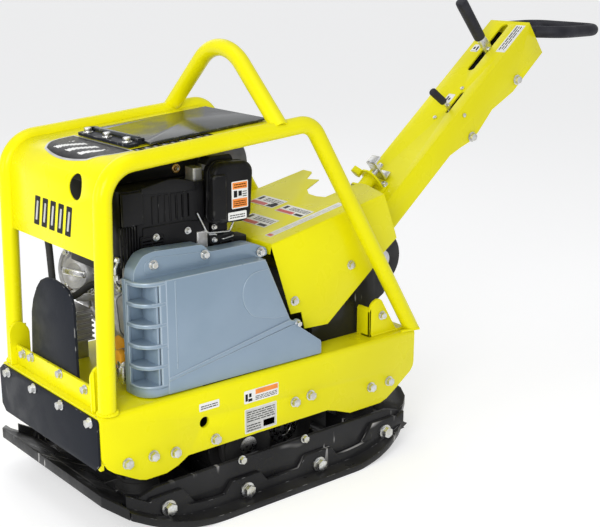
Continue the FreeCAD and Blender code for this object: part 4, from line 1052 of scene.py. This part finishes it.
def makeShroudDetails():
    bm = bmesh.new()
    face = shroudValues["faceY"]
    # forward block, sloped brow over the vents, cooling ribs, vent frame
    add(bm, panel([(-290, 574), (-246, 574), (-246, 636), (-290, 636)], face - 6, face + 2, rounds=(0, 3, 3),
                  soft=2.2, segments=3))
    brow = [(-246, 637), (-246, 640), (-180, 652), (-130, 640), (-124, 626), (-126, 622), (-246, 628)]
    add(bm, panel(brow, face - 3, face + 2, rounds=(0, 0, 16, 6), soft=1.4, segments=3))
    start, pitch, count = shroudValues["ribs"]
    for k in range(count):
        x = start + pitch * k
        add(bm, block((x, face - 4.5, 498), (x + 2.6, face + 1, 573), soft=0.8))
    start, pitch, count = shroudValues["vents"]
    for k in range(count + 1):
        x = start - 8.6 + pitch * k
        add(bm, block((x, face - 1.6, 570), (x + 9.2, face + 1, 622), soft=0.8))
    add(bm, block((start - 12, -99, 566), (start + pitch * count, -97, 626), soft=0.3))
    add(bm, panel([(-246, 474), (-98, 474), (-98, 560), (-150, 566), (-246, 566)], face - 2.4, face + 1,
                  rounds=(0, 0, 0, 8, 4), soft=1.3, segments=3))
    # data plate with printed rows
    plate = [(1, 1, 52, 35, 0), (2, 2, 51, 2.7, 4), (2, 33.3, 51, 34, 4), (2, 2, 2.7, 34, 4),
             (50.3, 2, 51, 34, 4)]
    rows = lines(5, 24, 6, 31, 4, 4, 2) + lines(27, 49, 6, 31, 4, 4, 5)
    add(bm, label((-253, face - 2.5, 514), (1, 0, 0), (0, 0, 1), (53, 36), plate + rows), None)
    for x, z, finish in ((-219, 545, 1), (-148, 547, 1), (-184, 513, 1)):
        add(bm, bolt((x, face - 2.4, z), (0, -1, 0), 8, 4, 7), finish)
    add(bm, lathe((-134, -50, 656), (0, -1, 0),
                  [(0, 0), (9, 0), (9, 4), (7.4, 5), (7.4, 3.4), (5, 3.4), (4, 7), (0, 7)], 32), 2)
    add(bm, lathe((-134, -56, 656), (0, -1, 0), [(0, 1), (3.6, 1), (3.6, 4), (2.8, 5), (0, 5)], 6), 1)
    return bm


def makeCarburettor():
    bm = bmesh.new()
    for low, high, soft, finish in (((-98, -112, 512), (-40, -70, 528), 2.4, 0),
                                    ((-88, -106, 500), (-52, -74, 553), 3, 0),
                                    ((-40, -104, 496), (-4, -70, 516), 3, 0),
                                    ((-128, -112, 505), (-104, -86, 541), 2.2, 1)):
        add(bm, block(low, high, soft, segments=3), finish)
    add(bm, barrel((-116, -100, 541), (-116, -100, 552), 7, soft=0.8), 2)
    add(bm, pipe([(-100, -104, 530), (-84, -108, 530), (-70, -108, 512)], [8], 2.4, 16, 6), 2)
    add(bm, pipe([(-72, -113, 520), (-72, -118, 520), (-46, -118, 523), (-46, -110, 523)], [4, 4], 1.2, 12,
                 5), 2)
    for x, z in ((-90, 520), (-90, 546)):
        add(bm, bolt((x, -112, z), (0, -1, 0), 7, 4, 5), 2)
    clip = [(-126, -110, 578), (-104, -110, 535), (-50, -110, 531), (-41, -110, 549)]
    add(bm, pipe(clip, [12, 8], 2.0, 16, 6), 2)
    return bm


housingValues = {"centre": (-110, 392), "outer": 130}
fanValues = {"centre": (-236, 128, 432), "outer": 62, "heading": (-1, -0.35, 0.12)}


def makeFanHousing():
    v = fanValues
    r = v["outer"]
    bm = bmesh.new()
    profile = [(0, -16), (r - 6, -16), (r, -12), (r, -2), (r - 2, -1), (r - 2, 10), (r, 11), (r, 18),
               (r - 4, 23), (r - 12, 26), (r - 14, 24), (r - 22, 24), (r - 24, 32), (r - 30, 38), (20, 40),
               (16, 38), (0, 38)]
    add(bm, lathe(v["centre"], v["heading"], profile, 64), 0)
    turn = turnTo(mm(*v["centre"]), v["heading"])
    for k in range(6):
        spoke = turn @ turned(k, 6, "Z")
        add(bm, block((30, -5, 20), (46, 5, 29), soft=2), 1, spoke)
    add(bm, block((-30, -7, 36), (30, 7, 44), soft=3, segments=3), 2, turn)
    for k in range(4):
        add(bm, bolt((50, 0, 24), (0, 0, 1), 9, 5, 7), 3, turn @ turned(k + 0.5, 4, "Z"))
    return bm


def makeFlywheelHousing():
    x, z = housingValues["centre"]
    r = housingValues["outer"]
    bm = bmesh.new()
    profile = [(60, 0), (r - 6, 0), (r, 4), (r, 10), (r - 2, 11), (r - 2, 30), (r, 31), (r, 36), (r - 2, 37),
               (r - 2, 58), (r - 4, 64), (r - 12, 70), (r - 22, 72), (r - 26, 70), (r - 40, 70),
               (r - 44, 72), (54, 72), (50, 69), (34, 69), (30, 66), (30, 62), (50, 62), (60, 66),
               (r - 20, 66), (r - 8, 58), (r - 8, 6), (60, 6), (60, 0)]
    add(bm, lathe((x, 106, z), (0, 1, 0), profile, 72), 0)
    for ring in (64, 74, 84):
        add(bm, lathe((x, 178, z), (0, 1, 0),
                      [(ring, 0.4), (ring + 3, 0.4), (ring + 3, -2), (ring, -2), (ring, 0.4)], 64), 1)
    for k in range(12):
        turn = shift(x, 176, z) @ turned(k, 12, "Y")
        add(bm, block((50, -1.5, -2), (92, 2.2, 2), soft=0.6), 1, turn)
    for k in range(5):
        turn = shift(x, 150, z) @ Matrix.Rotation(math.tau * k / 5 + 0.4, 4, "Y")
        add(bm, block((r - 6, -26, -9), (r + 3, 18, 9), soft=2.5, segments=3), 0, turn)
        add(bm, bolt((r - 1, 22, 0), (0, 1, 0), 9, 5, 8), 2, turn)
    return bm


def makeFittings():
    # pipes and unions in the bay between the front leg and the belt cover
    bm = bmesh.new()
    add(bm, pipe([(-296, -100, 512), (-304, -100, 498), (-304, -98, 470), (-286, -92, 452)], [8, 10], 3, 16,
                 6), 0)
    for x, y, z, h in ((-298, -99, 508, (0.3, 0, 1)), (-303, -99, 476, (0, 0, 1)),
                       (-297, -96, 460, (0.6, 0.2, -0.8))):
        add(bm, bolt((x, y, z), h, 13, 9, 0), 0)
    for k in range(3):
        r = 34 + 9 * k
        loop = [(-292, -96 + k, 446), (-292 - r * 0.4, -96 + k, 440), (-296 - r * 0.1, -96 + k, 372),
                (-280, -92, 352)]
        add(bm, pipe(loop, [10, 22], 3.2, 14, 7), 1)
    add(bm, barrel((-292, -90, 268), (-292, -90, 300), 12, soft=1.2), 0)
    add(bm, bolt((-292, -90, 300), (0, 0, 1), 17, 9, 14), 0)
    add(bm, barrel((-300, -84, 318), (-286, -84, 318), 15, soft=1.5), 2)
    add(bm, block((-290, -100, 300), (-262, -70, 330), soft=3, segments=3), 1)
    return bm


hoseValues = {"radius": 6.9, "points": [(-301, 110, 664), (-334, 110, 664), (-338, 106, 600),
                                        (-334, 97, 500), (-330, 96, 394), (-284, 96, 394), (-262, 70, 420),
                                        (-238, 60, 420)]}


def makeHose():
    bm = bmesh.new()
    r = hoseValues["radius"]
    add(bm, pipe(hoseValues["points"], [22, 60, 70, 30, 20, 20], r, 24, 8), 0)
    for at, way in (((-335, 99, 522), (0.04, -0.09, 1)), ((-312, 110, 664), (1, 0, 0)),
                    ((-246, 63, 420), (1, -0.4, 0))):
        profile = [(r, -4), (r + 1.6, -4), (r + 1.6, 4), (r, 4), (r, -4)]
        add(bm, lathe(at, way, profile, 32), 1)
        add(bm, block((r - 0.5, -4, -3.5), (r + 8, 4, 3.5), soft=0.8), 1, turnTo(mm(*at), way))
    return bm


addPiece("air_cleaner_case", makeAirCleaner(), "black_plastic", "chassis", ("air_cleaner",),
         extra=("label_orange", "label_white", "label_black"))
addPiece("engine_shroud_details", makeShroudDetails(), "engine_black", "chassis",
         extra=("zinc", "brass", "label_black", "label_white"))
addPiece("carburettor", makeCarburettor(), "black_plastic", "chassis", ("cleaner_clip",),
         extra=("engine_alloy", "zinc"))
addPiece("flywheel_housing_cast", makeFlywheelHousing(), "engine_alloy", "chassis", ("flywheel_housing",),
         extra=("dark_steel", "zinc"))
addPiece("fan_housing", makeFanHousing(), "engine_alloy", "chassis",
         extra=("dark_steel", "bright_steel", "zinc"))
addPiece("engine_fittings", makeFittings(), "zinc", "chassis", extra=("engine_alloy", "orange_plastic"))
addPiece("fuel_hose_with_clamps", makeHose(), "black_rubber", "chassis", ("fuel_hose",), extra=("zinc",))
print("engine made")

for name, item in nodes.items():
    item.data.materials.clear()
    item.data.materials.append(finishes[slotOf[name]])
